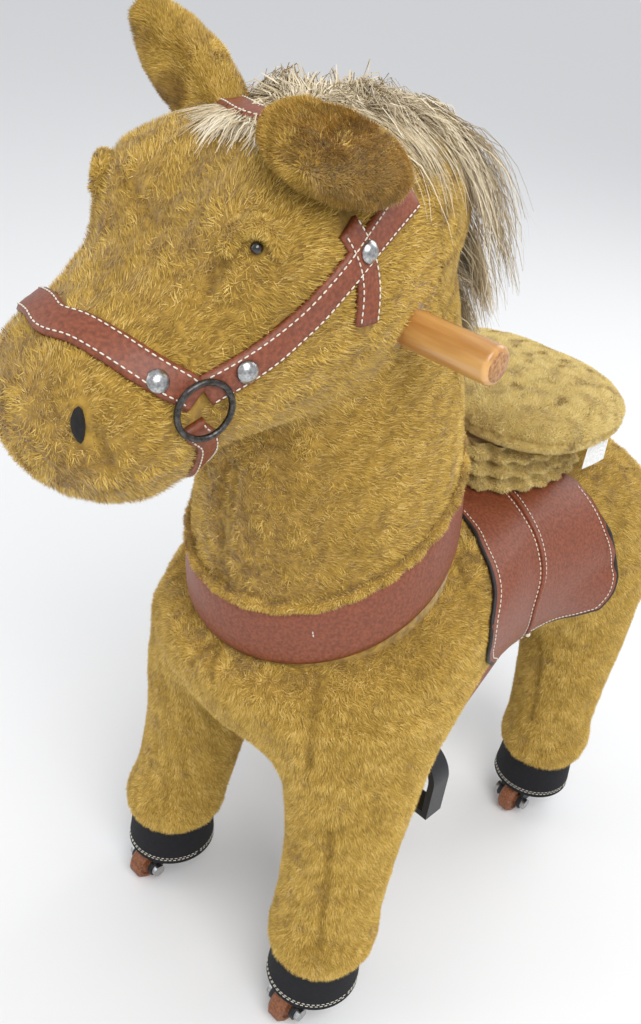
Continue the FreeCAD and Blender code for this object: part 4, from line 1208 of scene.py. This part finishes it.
def hair_strands(name, roots, normals, lengths, fall, body, width, seed, field=None, nodes=(), lift=0.5,
                 stray=0.14):
    """Flat strands that leave the skin and bend over to their fall."""
    rng = np.random.default_rng(seed)
    count, steps = len(roots), 7
    drift = np.stack([waves(roots, 0.03, seed + k) for k in range(3)], 1)
    place = roots - normals * 0.002
    rows = [place]
    for step in range(1, steps):
        share = step / (steps - 1)
        way = normals * (1 - share) * lift + fall * (0.45 + 1.0 * share) + stray * drift
        way = unit(way + 0.5 * stray * rng.normal(size=(count, 3)))
        place = place + way * (lengths / (steps - 1))[:, None]
        if field is not None:
            value = field(place)
            inside = value < 0.0030
            if inside.any():
                slope = field_slope(field, place[inside])
                place[inside] += unit(slope) * (0.0030 - value[inside])[:, None]
        rows.append(place)
    rows = np.stack(rows, 1)
    side = unit(np.cross(rows[:, -1] - rows[:, 0], normals + 0.4 * rng.normal(size=(count, 3))))
    wide = np.linspace(1.0, 0.25, steps)[None, :, None] * (width / 2 * rng.uniform(0.7, 1.3, count))[:, None,
                                                                                                     None]
    points = np.stack([rows - side[:, None] * wide, rows + side[:, None] * wide], 2).reshape(-1, 3)
    local = np.array([[2 * k, 2 * k + 1, 2 * k + 3, 2 * k + 2] for k in range(steps - 1)])
    faces = (local[None] + 2 * steps * np.arange(count)[:, None, None]).reshape(-1, 4)
    level = 0.6 * waves(roots, 0.012, seed + 50) + 0.6 * rng.normal(size=count)
    tone = np.repeat(np.digitize(level, (-0.9, -0.1, 0.7)), steps - 1)
    piece = make_mesh(name, points, faces, HAIR, tone)
    place_piece(piece, body)
    if nodes:
        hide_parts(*nodes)


CREST = np.array([
    (0, -0.218, 0.858), (0, -0.18, 0.862), (0, -0.12, 0.846), (0, -0.07, 0.825), (0, -0.04, 0.79),
    (0, -0.02, 0.74), (0, -0.005, 0.68), (0, 0.006, 0.64)])


MANE_STRANDS, TAIL_STRANDS, TAIL_ROOT_R, FORELOCK = 13000, 4200, 0.013, 0.12


def build_mane(rng):
    """Strands from the forehead over the poll and down the back of the neck."""
    path = smooth_path(CREST, 0.002)
    count = MANE_STRANDS
    pick = rng.integers(0, len(path), count)
    spot = path[pick] + np.stack([rng.normal(size=count) * 0.017, rng.normal(size=count) * 0.005,
                                  rng.normal(size=count) * 0.005], 1)
    root, up = settle(head_neck_field, spot)
    share = pick / len(path)
    sway = np.sign(root[:, 0] + 0.004) * np.clip(np.abs(root[:, 0]) / 0.02, 0.25, 1)
    fall = np.stack([0.30 * sway, np.where(share < FORELOCK, -0.6, 0.2), np.full(count, -0.9)], 1)
    along = 0.062 + 0.026 * np.sin(math.pi * share) - 0.034 * np.clip(2 * share - 1, 0, 1)
    long = np.where(share < FORELOCK, 0.034, along) * rng.uniform(0.7, 1.15, count)
    hair_strands("mane_strands", root, up, long, unit(fall), "steering", 0.0011, 82, head_neck_field,
                 ("mane",), 0.75, 0.2)


def build_tail(rng):
    low, high = corners("tail")
    count = TAIL_STRANDS
    around = rng.uniform(0, 2 * math.pi, count)
    reach = TAIL_ROOT_R * np.sqrt(rng.random(count))
    top = np.array([0, low[1] + 0.012, high[2] - 0.01])
    root = top + np.stack([reach * np.cos(around), 0.3 * reach * np.sin(around), reach * np.sin(around)], 1)
    up = unit(np.stack([0.35 * np.cos(around), np.full(count, 0.9), 0.35 + 0.35 * np.sin(around)], 1))
    fall = unit(np.stack([0.10 * np.cos(around), np.full(count, 0.06), np.full(count, -1.0)], 1))
    long = (high[2] - low[2]) * rng.uniform(0.75, 1.05, count)
    hair_strands("tail_strands", root, up * 0.55, long, fall, "chassis", 0.0013, 86, body_field, ("tail",),
                 0.35, 0.09)


def build_cuff_seams():
    """The double row of stitches round each cuff."""
    for end, body in (("front", "steering"), ("rear", "rear_frame")):
        rows = []
        for side in ("left", "right"):
            low, high = corners(f"{end}_cuff_{side}")
            centre, half = (low + high) / 2, (high - low) / 2
            angle = np.linspace(0, 2 * math.pi, 90)
            for height in (0.005, 0.0075):
                shrink = 1 - 0.012 * height / 0.005
                ring = np.stack([centre[0] + half[0] * shrink * np.cos(angle),
                                 centre[1] + half[1] * shrink * np.sin(angle),
                                 np.full(90, low[2] + height)], 1)
                normal = np.stack([np.cos(angle), np.sin(angle), np.zeros(90)], 1)
                rows.append(stitches(ring, normal, 0.0004, 0.0048, 0.0032, 0.0004))
        add_piece(f"{end}_cuff_stitches", rows, THREAD, body, "cuff_fabric")


# ---------------------------------------------------------------- camera, light and floor

def build_stage():
    """A pale floor and soft lights."""
    floor_mesh = make_mesh("floor", np.array([(-60, -60, 0), (60, -60, 0), (60, 60, 0), (-60, 60, 0)], float),
                           np.array([[0, 1, 2, 3]]), [new_material("floor", (0.86, 0.86, 0.86), 0.9)[0]])
    world = bpy.data.worlds.new("studio")
    bpy.context.scene.world = world
    world.use_nodes = True
    world.node_tree.nodes["Background"].inputs["Color"].default_value = (0.95, 0.97, 1.0, 1)
    world.node_tree.nodes["Background"].inputs["Strength"].default_value = 0.75
    for name, place, size, power in (
        ("key", (1.6, -0.9, 2.4), 1.6, 42), ("fill", (-1.8, -1.8, 1.6), 2.2, 16), ("back", (0.3, 2.2, 2.2),
                                                                                   1.8, 24),
    ):
        lamp = bpy.data.lights.new(name, "AREA")
        lamp.size = size
        lamp.energy = power
        holder = bpy.data.objects.new(name, lamp)
        bpy.context.scene.collection.objects.link(holder)
        holder.location = place
        holder.rotation_euler = (Vector((0, 0, 0.45)) - Vector(place)).to_track_quat("-Z", "Y").to_euler()
    bpy.context.scene.view_settings.view_transform = "Standard"


VIEW_AZIMUTH, VIEW_DOWN, VIEW_ROLL = 40.261, 32.332, 7.944
VIEW_TARGET = np.array([-0.0573, -0.0297, 0.4527])
VIEW_DISTANCE = 0.9817
VIEW_LENS = 35.93


def build_camera():
    a, e, r = (math.radians(v) for v in (VIEW_AZIMUTH, VIEW_DOWN, VIEW_ROLL))
    back = np.array([math.sin(a) * math.cos(e), -math.cos(a) * math.cos(e), math.sin(e)])
    level = np.cross(Z_AXIS, back)
    level /= np.linalg.norm(level)
    rise = np.cross(back, level)
    right = math.cos(r) * level + math.sin(r) * rise
    up = math.cos(r) * rise - math.sin(r) * level
    camera = bpy.data.cameras.new("camera")
    camera.lens = VIEW_LENS
    camera.sensor_width = 36
    camera.shift_x = 0.0037
    camera.shift_y = 0.0069
    holder = bpy.data.objects.new("camera", camera)
    bpy.context.scene.collection.objects.link(holder)
    place = VIEW_TARGET + back * VIEW_DISTANCE
    rows = [[right[k], up[k], back[k], place[k]] for k in range(3)] + [[0, 0, 0, 1]]
    holder.matrix_world = Matrix(rows)
    bpy.context.scene.camera = holder


build_stage()
build_camera()
finish_nodes()
build_body()
build_head_neck()
build_bridle()
build_collar()
build_flaps()
build_seat()
build_skirt()
build_spring()
build_tag()
build_ears()
build_eyes()
build_handle_holes()
STRANDS = np.random.default_rng(81)
build_mane(STRANDS)
build_tail(STRANDS)
build_cuff_seams()
